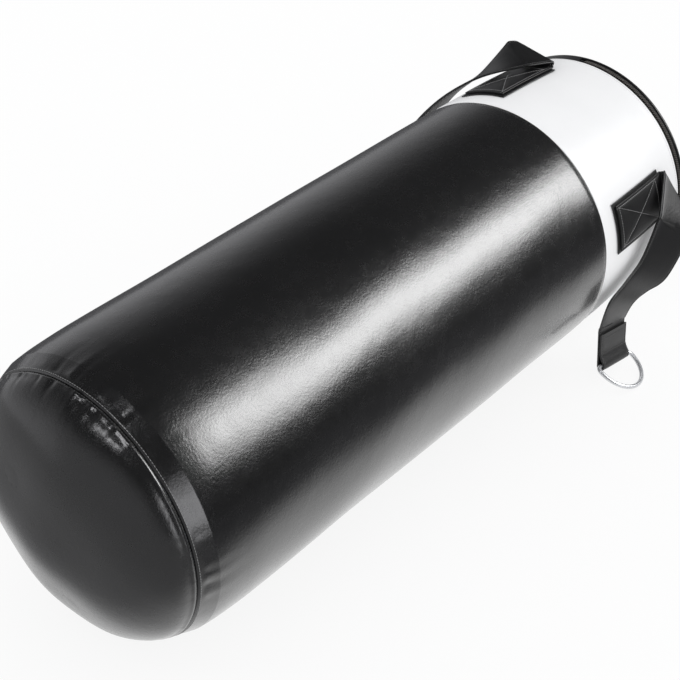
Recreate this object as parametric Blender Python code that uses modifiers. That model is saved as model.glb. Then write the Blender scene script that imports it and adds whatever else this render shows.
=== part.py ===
"""A stuffed punching bag with four carrying straps, lying on its side.

The bag's axis runs along +X, from the domed bottom to the zipped top, and the
floor is z = 0. Stations are distances along the axis from the bottom seam.
Angles go round the axis from +Y over the top, so 90 degrees is the upper side.
"""

import math

import bmesh
import bpy
from mathutils import Matrix, Vector

# Overall sizes, in metres
BAG_RADIUS = 0.150
BOTTOM_TUCK = 0.012
BAND_TUCK = 0.001
TOP_TUCK = 0.0085
PANEL_LENGTH = 0.624
BAND_LENGTH = 0.167
SHOULDER_LENGTH = 0.075
STRAIGHT_END = 0.450
DOME_DEPTH = 0.055
SKIN = 0.0015
CLEARANCE = 0.0003
SAG = 0.003
REST_STATION = 0.350
SEGMENTS = 48
FACET = 360.0 / SEGMENTS

# Zip round the top, its lid and its slider
ZIP_WIDTH = 0.0110
TAPE = 0.0009
TAPE_UNDER_HEM = 0.008
TOOTH_BACK = 0.0016
TOOTH_HEIGHT = 0.0030
TOOTH_MESH = 0.0024
TOOTH_THICKNESS = 0.0018
TEETH = 120
HINGE_ANGLE = 62.0
HINGE_HALF_ANGLE = 22.0
ZIP_END_MARGIN = 3.0
LID_CROWN = 0.006
LID_SKIRT = 0.0030
LID_EDGE = 0.0006
LID_HINGE_RISE = 0.0010
FILL_HEADROOM = 0.009
FILL_GAP = 0.0007
SLIDER_LENGTH = 0.014
SLIDER_WIDTH = 0.0096
SLIDER_PLATE = 0.0012
SLIDER_RISE = 0.0007
SLIDER_PARK = 6.0
BAIL_WIRE = 0.0006
BAIL_REACH = 0.0046
PULLER_WIRE = 0.0005
PULLER_HALF_WIDTH = 0.0040
PULLER_LENGTH = 0.024
STOP_LENGTH = 0.0032

# Straps and their rings
STRAP_ANGLES = (72.0, 164.0, 252.0, 342.0)
FOLD_HALF_ANGLES = (13.0, 12.0, 0.0, 15.0)
FOLD_RULINGS = (105.0, 86.0, 90.0, 91.0)
STRAP_WIDTH = 0.054
STRAP = 0.0022
PATCH = 0.0014
PATCH_LENGTH = 0.101
PATCH_WIDTH = 0.060
PATCH_FROM_SEAM = 0.021
SEWN_INSET = 0.004
FOLD_APEX_OUT = 0.007
FOLD_START = 0.001
HEM_LENGTH = 0.038
ACROSS = 4
HEM_CLOSES_IN = 0.014
RING_WIRE = 0.0050
RING_DEPTH = 0.040
RING_CORNER = 0.006

# The way each strap falls, ending at its ring's bar: how far the middle of the strap is back
# from the end of the patches, and how far from the bag's skin, from its side and from the floor
UPPER_BACK = (0.040, 0.062, 0.076, 0.082)
UPPER_ANGLES = (55.0, 40.0, 22.0, -8.3)
UPPER_OFF_SKIN = (0.0110, 0.0091, 0.0102, 0.0112)
NEAR_BACK = (0.046, 0.073, 0.101, 0.103)
NEAR_OFF_SIDE = (0.019, 0.013, 0.012, 0.0127)
NEAR_OFF_FLOOR = (0.123, 0.107, 0.099, 0.020)
UNDER_BACK = (-0.054, -0.104, -0.154, -0.204, -0.270)
UNDER_ASIDE = (0.007, 0.012, 0.015, 0.017, 0.019)
UNDER_HUMP = (0.0001, 0.0010, 0.0100, 0.0010, 0.0)
FAR_BACK = (0.039, 0.062, 0.091, 0.178)
FAR_OFF_SIDE = (0.028, 0.043, 0.064, 0.126)
FAR_OFF_FLOOR = (0.035, 0.009, 0.0013, 0.0)

# Values that follow from the sizes above
BOTTOM_SEAM_RADIUS = BAG_RADIUS - BOTTOM_TUCK
BAND_SEAM_RADIUS = BAG_RADIUS - BAND_TUCK
TOP_RADIUS = BAND_SEAM_RADIUS - TOP_TUCK
AXIS_HEIGHT = BAG_RADIUS - SAG
BAND_END = PANEL_LENGTH + BAND_LENGTH
TOP_STATION = BAND_END + ZIP_WIDTH + LID_SKIRT
PATCH_START = PANEL_LENGTH + PATCH_FROM_SEAM
PATCH_END = PATCH_START + PATCH_LENGTH
PATCH_OFFSET = CLEARANCE + 0.0002
SEWN_OFFSET = PATCH_OFFSET + PATCH + CLEARANCE
STACK = SEWN_OFFSET + STRAP
LOOP_RADIUS = RING_WIRE / 2 + CLEARANCE + 0.0002 + STRAP / 2
RING_WIDTH = STRAP_WIDTH + 2 * RING_CORNER

COLLECTION = "punching_bag"


def station_point(station, y, z):
    """A point given by station and by y, z from the bag's axis, in world space."""
    return Vector((station - REST_STATION, y, z + AXIS_HEIGHT))


def round_point(station, angle, radius):
    turn = math.radians(angle)
    return Vector((station, radius * math.cos(turn), radius * math.sin(turn)))


def to_world(point):
    return station_point(point.x, point.y, point.z)


def bag_radius(station):
    """The outer radius of the stuffed bag at a station."""
    if station < SHOULDER_LENGTH:
        rest = 1.0 - max(station, 0.0) / SHOULDER_LENGTH
        return BOTTOM_SEAM_RADIUS + (BAG_RADIUS - BOTTOM_SEAM_RADIUS) * math.sqrt(1.0 - rest * rest)
    if station < STRAIGHT_END:
        return BAG_RADIUS
    if station < PANEL_LENGTH:
        share = (station - STRAIGHT_END) / (PANEL_LENGTH - STRAIGHT_END)
        return BAG_RADIUS - (BAG_RADIUS - BAND_SEAM_RADIUS) * share * share
    share = min((station - PANEL_LENGTH) / BAND_LENGTH, 1.0)
    return BAND_SEAM_RADIUS - (BAND_SEAM_RADIUS - TOP_RADIUS) * share * share


def under_strap(station, y):
    """True where the strap below the bag lies between it and the floor."""
    centre = BAG_RADIUS * math.cos(math.radians(STRAP_ANGLES[2]))
    along = PATCH_START - 0.006 < station < PATCH_END + 0.006
    return along and abs(y - centre) < PATCH_WIDTH / 2 + 0.011


def settled(point, offset):
    """The point after the bag has settled on the floor. offset is its height above the skin."""
    lift = STACK if under_strap(point.x, point.y) else 0.0
    return Vector((point.x, point.y, max(point.z, lift - AXIS_HEIGHT - offset)))


def material(name, colour, roughness, metallic=0.0):
    made = bpy.data.materials.new(name)
    made.use_nodes = True
    shader = made.node_tree.nodes["Principled BSDF"]
    shader.inputs["Base Color"].default_value = (*colour, 1.0)
    shader.inputs["Roughness"].default_value = roughness
    shader.inputs["Metallic"].default_value = metallic
    made.diffuse_color = (*colour, 1.0)
    return made


def add_object(name, mesh, look, smooth_angle=35.0):
    mesh.materials.clear()
    mesh.materials.append(look)
    mesh.shade_smooth()
    mesh.set_sharp_from_angle(angle=math.radians(smooth_angle))
    made = bpy.data.objects.new(name, mesh)
    bpy.data.collections[COLLECTION].objects.link(made)
    return made


def move_origin(obj, point):
    """Puts a moving piece's origin on its joint's axis without moving its shape."""
    obj.data.transform(Matrix.Translation(-point) @ obj.matrix_basis)
    obj.matrix_world = Matrix.Translation(point)
    return obj


def evaluated_mesh(obj):
    """The mesh that an object's modifiers make. The object is removed."""
    bpy.context.view_layer.update()
    graph = bpy.context.evaluated_depsgraph_get()
    mesh = bpy.data.meshes.new_from_object(obj.evaluated_get(graph))
    mesh.transform(obj.matrix_world)
    bpy.data.objects.remove(obj)
    return mesh


def tidy_faces(mesh):
    """Merges doubles, closes flat ends and turns every face outwards."""
    shape = bmesh.new()
    shape.from_mesh(mesh)
    bmesh.ops.remove_doubles(shape, verts=shape.verts, dist=1e-6)
    open_edges = [edge for edge in shape.edges if edge.is_boundary]
    if open_edges:
        bmesh.ops.holes_fill(shape, edges=open_edges, sides=0)
    bmesh.ops.recalc_face_normals(shape, faces=shape.faces)
    shape.to_mesh(mesh)
    shape.free()
    return mesh


def profile_object(points, closed):
    """Edges through (station, radius) points, in the plane that Screw turns about X."""
    mesh = bpy.data.meshes.new("profile")
    count = len(points)
    edges = [(i, i + 1) for i in range(count - 1)]
    if closed:
        edges.append((count - 1, 0))
    mesh.from_pydata([(station, radius, 0.0) for station, radius in points], edges, [])
    made = bpy.data.objects.new("profile", mesh)
    bpy.context.scene.collection.objects.link(made)
    return made


def turned_mesh(points, closed=True, first=FACET / 2, sweep=360.0, steps=SEGMENTS):
    """A profile turned about the bag's axis by Screw, from the angle first."""
    obj = profile_object(points, closed)
    screw = obj.modifiers.new("turn", "SCREW")
    screw.axis = "X"
    screw.angle = math.radians(sweep)
    screw.steps = steps
    screw.render_steps = steps
    screw.use_merge_vertices = True
    screw.merge_threshold = 1e-5
    mesh = tidy_faces(evaluated_mesh(obj))
    mesh.transform(Matrix.Rotation(math.radians(first), 4, "X"))
    return mesh


def panel_stations(start, end, inner_stations):
    return [start] + [value for value in inner_stations if start < value < end] + [end]


def skin_profile(stations, outside, inside):
    """A closed profile that follows the bag at two offsets from its outer face."""
    outer = [(value, bag_radius(value) + outside) for value in stations]
    inner = [(value, bag_radius(value) + inside) for value in reversed(stations)]
    return outer + inner


def split_quads(mesh):
    """Cuts each quad along the same diagonal in every layer, so that layers stay apart when they bend."""
    shape = bmesh.new()
    shape.from_mesh(mesh)
    for face in [face for face in shape.faces if len(face.verts) == 4]:
        a, b, c, d = face.verts
        turn = (a.co.y * c.co.z - a.co.z * c.co.y) * (c.co.x - a.co.x)
        if abs(turn) < 1e-9:
            continue
        right_side = face.calc_center_median().y > 0.0
        pair = (a, c) if (turn > 0.0) == right_side else (b, d)
        bmesh.utils.face_split(face, *pair)
    shape.to_mesh(mesh)
    shape.free()


def settle_mesh(mesh, skin_radius):
    """Lays a turned mesh on the floor. skin_radius gives the outer face at a station."""
    split_quads(mesh)
    for vertex in mesh.vertices:
        point = vertex.co
        offset = math.hypot(point.y, point.z) - skin_radius(point.x)
        vertex.co = settled(point, offset)
        vertex.co = to_world(vertex.co)
    return mesh


def dome_point(share, offset):
    """Station and radius on the bottom dome, from the seam (0) to the pole (1)."""
    turn = math.pi / 2 * share
    depth = DOME_DEPTH + offset
    radius = BOTTOM_SEAM_RADIUS + offset
    return (-depth * math.sin(turn), radius * math.cos(turn) if share < 1.0 else 0.0)


DOME_SHARES = (0.0, 0.16, 0.34, 0.54, 0.76, 1.0)
PANEL_STATIONS = (0.010, 0.028, SHOULDER_LENGTH, STRAIGHT_END)
BAND_STATIONS = (PATCH_START - 0.005, (PATCH_START + PATCH_END) / 2, PATCH_END + 0.005, PATCH_END + 0.020)


def make_bottom_panel(look):
    edge = CLEARANCE / 2
    outer = [dome_point(share, 0.0) for share in DOME_SHARES]
    inner = [dome_point(share, -SKIN) for share in reversed(DOME_SHARES)]
    profile = [(station - edge, radius) for station, radius in outer + inner]
    profile = profile[len(DOME_SHARES):] + profile[:len(DOME_SHARES)]
    mesh = turned_mesh(profile, closed=False)
    for vertex in mesh.vertices:
        vertex.co = to_world(vertex.co)
    return add_object("bottom_panel", mesh, look)


def make_side_panel(look):
    stations = panel_stations(CLEARANCE / 2, PANEL_LENGTH - CLEARANCE / 2, PANEL_STATIONS)
    mesh = turned_mesh(skin_profile(stations, 0.0, -SKIN))
    return add_object("side_panel", settle_mesh(mesh, bag_radius), look)


def make_top_band(look):
    stations = panel_stations(PANEL_LENGTH + CLEARANCE / 2, BAND_END, BAND_STATIONS)
    mesh = turned_mesh(skin_profile(stations, 0.0, -SKIN))
    return add_object("top_band", settle_mesh(mesh, bag_radius), look)


def make_filling(look):
    """The packed textile filling, one solid that fits inside the skins."""
    depth = SKIN + FILL_GAP
    neck = TOP_RADIUS - SKIN - CLEARANCE - TAPE - CLEARANCE
    dome = [dome_point(share, -depth) for share in reversed(DOME_SHARES)]
    stations = panel_stations(CLEARANCE, BAND_END - TAPE_UNDER_HEM - 0.001, PANEL_STATIONS + (PANEL_LENGTH,) + BAND_STATIONS)
    side = [(station, bag_radius(station) - depth) for station in stations]
    top = TOP_STATION - SKIN - FILL_HEADROOM
    end = [(stations[-1] + 0.0005, neck), (top, neck), (top, 0.0)]
    mesh = turned_mesh(dome + side + end, closed=False)
    return add_object("textile_filling", settle_mesh(mesh, bag_radius), look)


# The zip


def zip_span():
    """First angle and sweep of the zip, which leaves only the lid's hinge sewn."""
    first = HINGE_ANGLE + HINGE_HALF_ANGLE + ZIP_END_MARGIN
    return first, 360.0 - 2 * (HINGE_HALF_ANGLE + ZIP_END_MARGIN)


def make_tape(name, start, end, first_facet, facets, look):
    """A tape round the rim over a number of the bag's own facets."""
    outer = TOP_RADIUS - SKIN - CLEARANCE
    profile = [(start, outer), (end, outer), (end, outer - TAPE), (start, outer - TAPE)]
    mesh = turned_mesh(profile, first=FACET * (first_facet + 0.5), sweep=FACET * facets, steps=facets)
    for vertex in mesh.vertices:
        vertex.co = to_world(vertex.co)
    return add_object(name, mesh, look)


def make_teeth(name, back, reach, phase, look):
    """A rack of teeth bent round the rim, from its back edge towards the other row."""
    first, sweep = zip_span()
    pitch = sweep / (TEETH + 1)
    inner = TOP_RADIUS - SKIN
    outer = inner + TOOTH_THICKNESS
    root = back + math.copysign(TOOTH_BACK, reach)
    tip = root + reach
    rack = bmesh.new()

    def corner(station, turns, radius):
        point = round_point(station, first + turns * pitch, radius)
        return rack.verts.new(to_world(point))

    def column(turns):
        return [corner(station, turns, radius) for station in (back, root) for radius in (inner, outer)]

    valleys = [column(phase + i) for i in range(TEETH + 1)]
    rack.faces.new([valleys[0][k] for k in (0, 1, 3, 2)])
    rack.faces.new([valleys[-1][k] for k in (0, 2, 3, 1)])
    for i in range(TEETH):
        here, there = valleys[i], valleys[i + 1]
        low = corner(tip, phase + i + 0.5, inner)
        high = corner(tip, phase + i + 0.5, outer)
        rack.faces.new([here[0], here[1], there[1], there[0]])
        rack.faces.new([here[1], here[3], high, there[3], there[1]])
        rack.faces.new([here[0], there[0], there[2], low, here[2]])
        rack.faces.new([here[2], low, high, here[3]])
        rack.faces.new([low, there[2], there[3], high])
    bmesh.ops.recalc_face_normals(rack, faces=rack.faces)
    mesh = bpy.data.meshes.new(name)
    rack.to_mesh(mesh)
    rack.free()
    return add_object(name, mesh, look, smooth_angle=20.0)


def chord_cutter(name, keeps_hinge):
    """A box on one side of the lid's hinge line."""
    reach = 0.5
    line = TOP_RADIUS * math.cos(math.radians(HINGE_HALF_ANGLE))
    edge = line + CLEARANCE / 2 if keeps_hinge else line - CLEARANCE / 2
    middle = edge + reach / 2 if keeps_hinge else edge - reach / 2
    mesh = bpy.data.meshes.new(name)
    box = bmesh.new()
    bmesh.ops.create_cube(box, size=reach)
    box.to_mesh(mesh)
    box.free()
    mesh.transform(Matrix.Translation((TOP_STATION, middle, 0.0)))
    mesh.transform(Matrix.Rotation(math.radians(HINGE_ANGLE), 4, "X"))
    made = bpy.data.objects.new(name, mesh)
    made.hide_render = True
    made.display_type = "WIRE"
    bpy.data.collections["cutters"].objects.link(made)
    return made


def cup_profile(skirt_end):
    """Half of a shallow cup whose rim runs down to a station, its top crowned."""
    crown = [(TOP_STATION + LID_CROWN * (1 - share * share), TOP_RADIUS * share)
             for share in (0.0, 0.35, 0.7, 0.97)]
    under = [(station - SKIN, radius) for station, radius in reversed(crown)]
    edge = TOP_STATION - LID_EDGE
    wall = [(edge, TOP_RADIUS), (skirt_end, TOP_RADIUS),
            (skirt_end, TOP_RADIUS - SKIN), (edge - SKIN, TOP_RADIUS - SKIN)]
    return crown + wall + under


def make_cup(name, skirt_end, keeps_hinge, look):
    mesh = turned_mesh(cup_profile(skirt_end), closed=False)
    made = add_object(name, mesh, look)
    cut = made.modifiers.new("hinge line", "BOOLEAN")
    cut.operation = "INTERSECT"
    cut.solver = "EXACT"
    cut.object = chord_cutter(name + "_side", keeps_hinge)
    mesh = evaluated_mesh(made)
    for vertex in mesh.vertices:
        vertex.co = to_world(vertex.co)
    return add_object(name, mesh, look)


def make_block(name, corners, look):
    """A small block round the rim, from (station, angle, radius) limits."""
    (low_station, high_station), (low_angle, high_angle), (low_radius, high_radius) = corners
    profile = [(low_station, high_radius), (high_station, high_radius),
               (high_station, low_radius), (low_station, low_radius)]
    mesh = turned_mesh(profile, first=low_angle, sweep=high_angle - low_angle, steps=2)
    for vertex in mesh.vertices:
        vertex.co = to_world(vertex.co)
    return add_object(name, mesh, look)


def zip_middle():
    return BAND_END + ZIP_WIDTH / 2


def make_zip(black, tooth_look, metal):
    middle = zip_middle()
    half_chain = TOOTH_HEIGHT - TOOTH_MESH / 2 + TOOTH_BACK
    lower_back = middle - half_chain
    upper_back = middle + half_chain
    under_lid = TOP_STATION - LID_EDGE - SKIN - CLEARANCE
    make_tape("zip_tape_band_side", BAND_END - TAPE_UNDER_HEM, middle - TOOTH_MESH, 10, 44, black)
    make_tape("zip_tape_lid_side", middle + TOOTH_MESH, under_lid, 11, 42, black)
    make_teeth("zip_teeth_band_side", lower_back, TOOTH_HEIGHT, 0.25, tooth_look)
    make_teeth("zip_teeth_lid_side", upper_back, -TOOTH_HEIGHT, 0.75, tooth_look)
    first, sweep = zip_span()
    stop_angle = math.degrees(STOP_LENGTH / TOP_RADIUS)
    bottom = TOP_RADIUS - SKIN
    for name in ("zip_tape_lid_side", "zip_teeth_lid_side"):
        move_origin(bpy.data.objects[name], lid_hinge_point())
    for name, angle in (("zip_stop_start", first - 0.9 - stop_angle / 2), ("zip_stop_end", first + sweep + 0.9 - stop_angle / 2)):
        make_block(name, ((lower_back, lower_back + TOOTH_BACK), (angle, angle + stop_angle),
                          (bottom, bottom + TOOTH_THICKNESS + 0.0004)), metal)


def lid_hinge_point():
    radius = TOP_RADIUS * math.cos(math.radians(HINGE_HALF_ANGLE))
    return to_world(round_point(TOP_STATION + LID_HINGE_RISE, HINGE_ANGLE, radius))


def slider_angle():
    first, sweep = zip_span()
    return first + sweep - SLIDER_PARK


def slider_frame():
    """World matrix of the slider: X along the bag, Y along the zip, Z outwards."""
    turn = math.radians(slider_angle())
    outwards = Vector((0.0, math.cos(turn), math.sin(turn)))
    along = Vector((1.0, 0.0, 0.0))
    onwards = outwards.cross(along)
    origin = to_world(round_point(zip_middle(), slider_angle(), TOP_RADIUS - SKIN + TOOTH_THICKNESS + SLIDER_RISE))
    rotation = Matrix((along, onwards, outwards)).transposed().to_4x4()
    return Matrix.Translation(origin) @ rotation


def curve_mesh(points, radius, resolution=2, cyclic=False):
    """A round wire along points, as a closed mesh."""
    data = bpy.data.curves.new("wire", "CURVE")
    data.dimensions = "3D"
    data.bevel_depth = radius
    data.bevel_resolution = resolution
    data.use_fill_caps = not cyclic
    spline = data.splines.new("POLY")
    spline.points.add(len(points) - 1)
    for target, point in zip(spline.points, points):
        target.co = (*point, 1.0)
    spline.use_cyclic_u = cyclic
    obj = bpy.data.objects.new("wire", data)
    bpy.context.scene.collection.objects.link(obj)
    return tidy_faces(evaluated_mesh(obj))


def join_solids(name, meshes, look):
    """One body from several overlapping solids."""
    first = bpy.data.objects.new(name, meshes[0])
    bpy.context.scene.collection.objects.link(first)
    helpers = []
    for i, mesh in enumerate(meshes[1:]):
        helper = bpy.data.objects.new(f"{name}_{i}", mesh)
        bpy.context.scene.collection.objects.link(helper)
        helpers.append(helper)
        union = first.modifiers.new(f"union {i}", "BOOLEAN")
        union.operation = "UNION"
        union.solver = "EXACT"
        union.object = helper
    mesh = evaluated_mesh(first)
    for helper in helpers:
        bpy.data.objects.remove(helper)
    return add_object(name, mesh, look)


def plate_mesh(length, width, height, bevel, centre=(0.0, 0.0, 0.0)):
    """A plate with rounded corners and edges, centred on a point."""
    mesh = bpy.data.meshes.new("plate")
    shape = bmesh.new()
    bmesh.ops.create_cube(shape, size=1.0)
    bmesh.ops.scale(shape, vec=(width, length, height), verts=shape.verts)
    bmesh.ops.bevel(shape, geom=list(shape.edges), offset=bevel, segments=1, affect="EDGES")
    bmesh.ops.translate(shape, vec=centre, verts=shape.verts)
    shape.to_mesh(mesh)
    shape.free()
    return mesh


def bail_height():
    """Height of the puller's pin above the slider's underside."""
    return SLIDER_PLATE + CLEARANCE + PULLER_WIRE


def make_slider(metal):
    """The slider's body with the bail that holds the puller, and the puller on its pin."""
    frame = slider_frame()
    body = plate_mesh(SLIDER_LENGTH, SLIDER_WIDTH, SLIDER_PLATE, 0.0005, (0.0, 0.0, SLIDER_PLATE / 2))
    top = bail_height() + PULLER_WIRE + CLEARANCE + BAIL_WIRE
    arch = [Vector((0.0, BAIL_REACH * math.cos(t), SLIDER_PLATE * 0.6 + (top - SLIDER_PLATE * 0.6) * math.sin(t) ** 0.5))
            for t in (math.pi * k / 8 for k in range(9))]
    bail = curve_mesh(arch, BAIL_WIRE, resolution=1)
    slider = join_solids("zip_slider", [body, bail], metal)
    slider.matrix_world = frame
    move_origin(slider, to_world(Vector((zip_middle(), 0.0, 0.0))))
    pin = Matrix.Translation((0.0, 0.0, bail_height()))
    neck = BAIL_REACH + 2 * BAIL_WIRE + 0.001
    loop = [Vector((side * PULLER_HALF_WIDTH, y, 0.0)) for side, y in ((1, 0.0), (1, neck), (-1, neck), (-1, 0.0))]
    eye = curve_mesh(loop, PULLER_WIRE, resolution=1, cyclic=True)
    tab = plate_mesh(PULLER_LENGTH - neck, 2 * PULLER_HALF_WIDTH + 0.001, 2 * PULLER_WIRE, 0.0003,
                     (0.0, (PULLER_LENGTH + neck) / 2, 0.0))
    puller = join_solids("zip_puller", [tab, eye], metal)
    puller.matrix_world = frame @ pin
    return slider, puller


# The straps


def plate_on_bag(name, angle, start, end, width, offset, thickness, look):
    """A plate of vinyl that lies on the band round a strap's angle."""
    across, along = 4, 3
    sheet = bmesh.new()
    rows = []
    for level in (offset, offset + thickness):
        for i in range(along + 1):
            station = start + (end - start) * i / along
            row = []
            for j in range(across + 1):
                radius = bag_radius(station) + level
                side = width * (j / across - 0.5)
                point = round_point(station, angle + math.degrees(side / radius), radius)
                row.append(sheet.verts.new(to_world(settled(point, level))))
            rows.append(row)
    low, high = rows[:along + 1], rows[along + 1:]
    for i in range(along):
        for j in range(across):
            sheet.faces.new([low[i][j], low[i][j + 1], low[i + 1][j + 1], low[i + 1][j]])
            sheet.faces.new([high[i][j], high[i + 1][j], high[i + 1][j + 1], high[i][j + 1]])
    for i in range(along):
        for j in (0, across):
            sheet.faces.new([low[i][j], low[i + 1][j], high[i + 1][j], high[i][j]])
    for j in range(across):
        for i in (0, along):
            sheet.faces.new([low[i][j], low[i][j + 1], high[i][j + 1], high[i][j]])
    bmesh.ops.recalc_face_normals(sheet, faces=sheet.faces)
    mesh = bpy.data.meshes.new(name)
    sheet.to_mesh(mesh)
    sheet.free()
    return add_object(name, mesh, look)


class StrapRoot:
    """Where a strap leaves its patch: its middle, its width direction and its outward normal.

    side is +1 where the strap falls towards larger angles, and -1 towards smaller ones.
    """

    def __init__(self, number, side):
        angle = STRAP_ANGLES[number - 1]
        self.angle = angle
        self.side = side
        self.fold_half_angle = FOLD_HALF_ANGLES[number - 1]
        self.first_ruling = math.radians(FOLD_RULINGS[number - 1])
        self.folded = self.fold_half_angle > 0.0
        self.radius = bag_radius(PATCH_END) + SEWN_OFFSET + STRAP / 2
        turn = math.radians(angle)
        self.normal = Vector((0.0, math.cos(turn), math.sin(turn)))
        self.width = Vector((0.0, -math.sin(turn), math.cos(turn))) * side
        self.middle = round_point(PATCH_END + CLEARANCE, angle, self.radius)

    def row(self, station, level):
        """A row of points across the strap, this far above the bag's skin."""
        radius = bag_radius(station) + level
        turns = [self.angle + math.degrees(self.side * STRAP_WIDTH * (j / ACROSS - 0.5) / radius)
                 for j in range(ACROSS + 1)]
        return [settled(round_point(station, turn, radius), level) for turn in turns]


class Fold:
    """The conical fold where a strap turns back on itself and falls to the side.

    It is tight at the upper edge and opens towards the lower one. The cone's
    apex lies just outside the upper edge. A turn of 0 is where the strap
    leaves the bag, and the crest is at 90 degrees.
    """

    def __init__(self, root):
        half = math.radians(root.fold_half_angle)
        self.half = half
        self.first_ruling = root.first_ruling
        self.apex = root.middle + Vector((FOLD_START, 0.0, 0.0)) - root.width * (STRAP_WIDTH / 2 + FOLD_APEX_OUT)
        self.axis = root.width * math.cos(half) + root.normal * math.sin(half)
        self.inner = root.width * math.sin(half) - root.normal * math.cos(half)
        self.outer = Vector((1.0, 0.0, 0.0))

    def spoke(self, turn):
        return self.inner * math.cos(turn) + self.outer * math.sin(turn)

    def normal(self, turn):
        return self.spoke(turn) * math.cos(self.half) - self.axis * math.sin(self.half)

    def pair(self, turn):
        """The strap's edge points on the straight line at this turn of the fold."""
        ruling = self.first_ruling - turn * math.sin(self.half)
        line = self.axis * math.cos(self.half) + self.spoke(turn) * math.sin(self.half)
        near = FOLD_APEX_OUT / math.sin(ruling)
        far = (FOLD_APEX_OUT + STRAP_WIDTH) / math.sin(ruling)
        return (self.apex + line * near, self.apex + line * far)

    def last_pair(self):
        """The first square cross-section after the fold."""
        last = self.first_ruling - math.pi * math.sin(self.half)
        line = self.axis * math.cos(self.half) - self.inner * math.sin(self.half)
        travel = line * math.cos(last) - self.outer * math.sin(last)
        widthwise = line * math.sin(last) + self.outer * math.cos(last)
        reach = (FOLD_APEX_OUT + STRAP_WIDTH) / math.tan(last) + 0.004
        middle = self.apex + travel * reach + widthwise * (FOLD_APEX_OUT + STRAP_WIDTH / 2)
        return (middle - widthwise * STRAP_WIDTH / 2, middle + widthwise * STRAP_WIDTH / 2)

    def free_pairs(self):
        """Edge points from just past the crest to the end of the fold."""
        onwards = -self.inner * CLEARANCE
        crest = tuple(point + onwards for point in self.pair(math.pi / 2))
        return [crest] + [self.pair(math.pi * i / 10) for i in (6, 7, 8, 9, 10)] + [self.last_pair()]


def fold_hinge(root):
    """Where a free strap turns: a point and a direction that swings it away from the bag."""
    if not root.folded:
        return root.middle + root.normal * STRAP / 2, Vector((1.0, 0.0, 0.0)).cross(root.normal)
    fold = Fold(root)
    upper, lower = fold.pair(math.pi / 2)
    direction = (lower - upper).normalized()
    if direction.dot(Vector((-1.0, 0.0, 0.0)).cross(root.normal)) < 0.0:
        direction = -direction
    return (upper + lower) / 2 + fold.normal(math.pi / 2) * STRAP / 2, direction


def smooth_pairs(pairs, steps):
    """Catmull-Rom curves through the strap's edge points."""
    def between(a, b, c, d, t):
        return 0.5 * (2 * b + (c - a) * t + (2 * a - 5 * b + 4 * c - d) * t * t + (3 * b - a - 3 * c + d) * t ** 3)

    padded = [pairs[0]] + list(pairs) + [pairs[-1]]
    made = []
    for i in range(1, len(padded) - 2):
        for k in range(steps):
            made.append(tuple(between(*(padded[i + n][edge] for n in (-1, 0, 1, 2)), k / steps) for edge in (0, 1)))
    made.append(pairs[-1])
    return made


def unit(x, y, z):
    return Vector((x, y, z)).normalized()


class StrapEnd:
    """The end of a strap: its ring's bar, the way the strap arrives, and the hem's side."""

    def __init__(self, bar, travel, width, hem_side):
        self.bar = Vector(bar)
        self.travel = travel
        self.width = (width - travel * width.dot(travel)).normalized()
        self.hem = self.width.cross(travel) * hem_side

    def main(self, back):
        """A point of the strap's own layer, this far before the bar."""
        return self.bar - self.hem * LOOP_RADIUS - self.travel * back

    def pair(self, middle):
        return (middle - self.width * STRAP_WIDTH / 2, middle + self.width * STRAP_WIDTH / 2)

    def loop(self):
        """The strap round the bar and back along itself, as edge pairs."""
        turns = 6
        rows = []
        for k in range(1, turns + 1):
            turn = math.pi * k / turns
            rows.append(self.bar + (self.travel * math.sin(turn) - self.hem * math.cos(turn)) * LOOP_RADIUS)
        closed = STRAP + CLEARANCE + 0.0001
        for back in (HEM_CLOSES_IN / 2, HEM_CLOSES_IN, HEM_LENGTH):
            share = min(back / HEM_CLOSES_IN, 1.0)
            ease = share * share * (3 - 2 * share)
            height = 2 * LOOP_RADIUS * (1 - ease) + closed * ease
            rows.append(self.main(back) + self.hem * height)
        return [self.pair(row) for row in rows]


def strap_frames(first_pairs, frames, end):
    """All edge pairs of a free strap, from its fold or root to its hem."""
    falls = [(Vector(middle) - width * STRAP_WIDTH / 2, Vector(middle) + width * STRAP_WIDTH / 2)
             for middle, width in frames]
    tail = [first_pairs[-1]] + falls + [end.pair(end.main(HEM_LENGTH + 0.004))]
    straight = [end.pair(end.main(back)) for back in (HEM_CLOSES_IN, HEM_CLOSES_IN / 2, 0.0)]
    return first_pairs[:-1] + smooth_pairs(tail, 3) + straight + end.loop()


def spread(pair):
    """A row of points between two edge points."""
    return [pair[0].lerp(pair[1], j / ACROSS) for j in range(ACROSS + 1)]


def closed_layers(name, inner_rows, outer_rows, look):
    """A closed sheet between two grids of points."""
    shape = bmesh.new()
    low = [[shape.verts.new(to_world(point)) for point in row] for row in inner_rows]
    high = [[shape.verts.new(to_world(point)) for point in row] for row in outer_rows]
    last = len(low) - 1
    for i in range(last):
        for j in range(ACROSS):
            for layer in (low, high):
                shape.faces.new([layer[i][j], layer[i + 1][j], layer[i + 1][j + 1], layer[i][j + 1]])
        for j in (0, ACROSS):
            shape.faces.new([low[i][j], low[i + 1][j], high[i + 1][j], high[i][j]])
    for i in (0, last):
        for j in range(ACROSS):
            shape.faces.new([low[i][j], low[i][j + 1], high[i][j + 1], high[i][j]])
    bmesh.ops.recalc_face_normals(shape, faces=shape.faces)
    mesh = bpy.data.meshes.new(name)
    shape.to_mesh(mesh)
    shape.free()
    return add_object(name, mesh, look)


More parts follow.
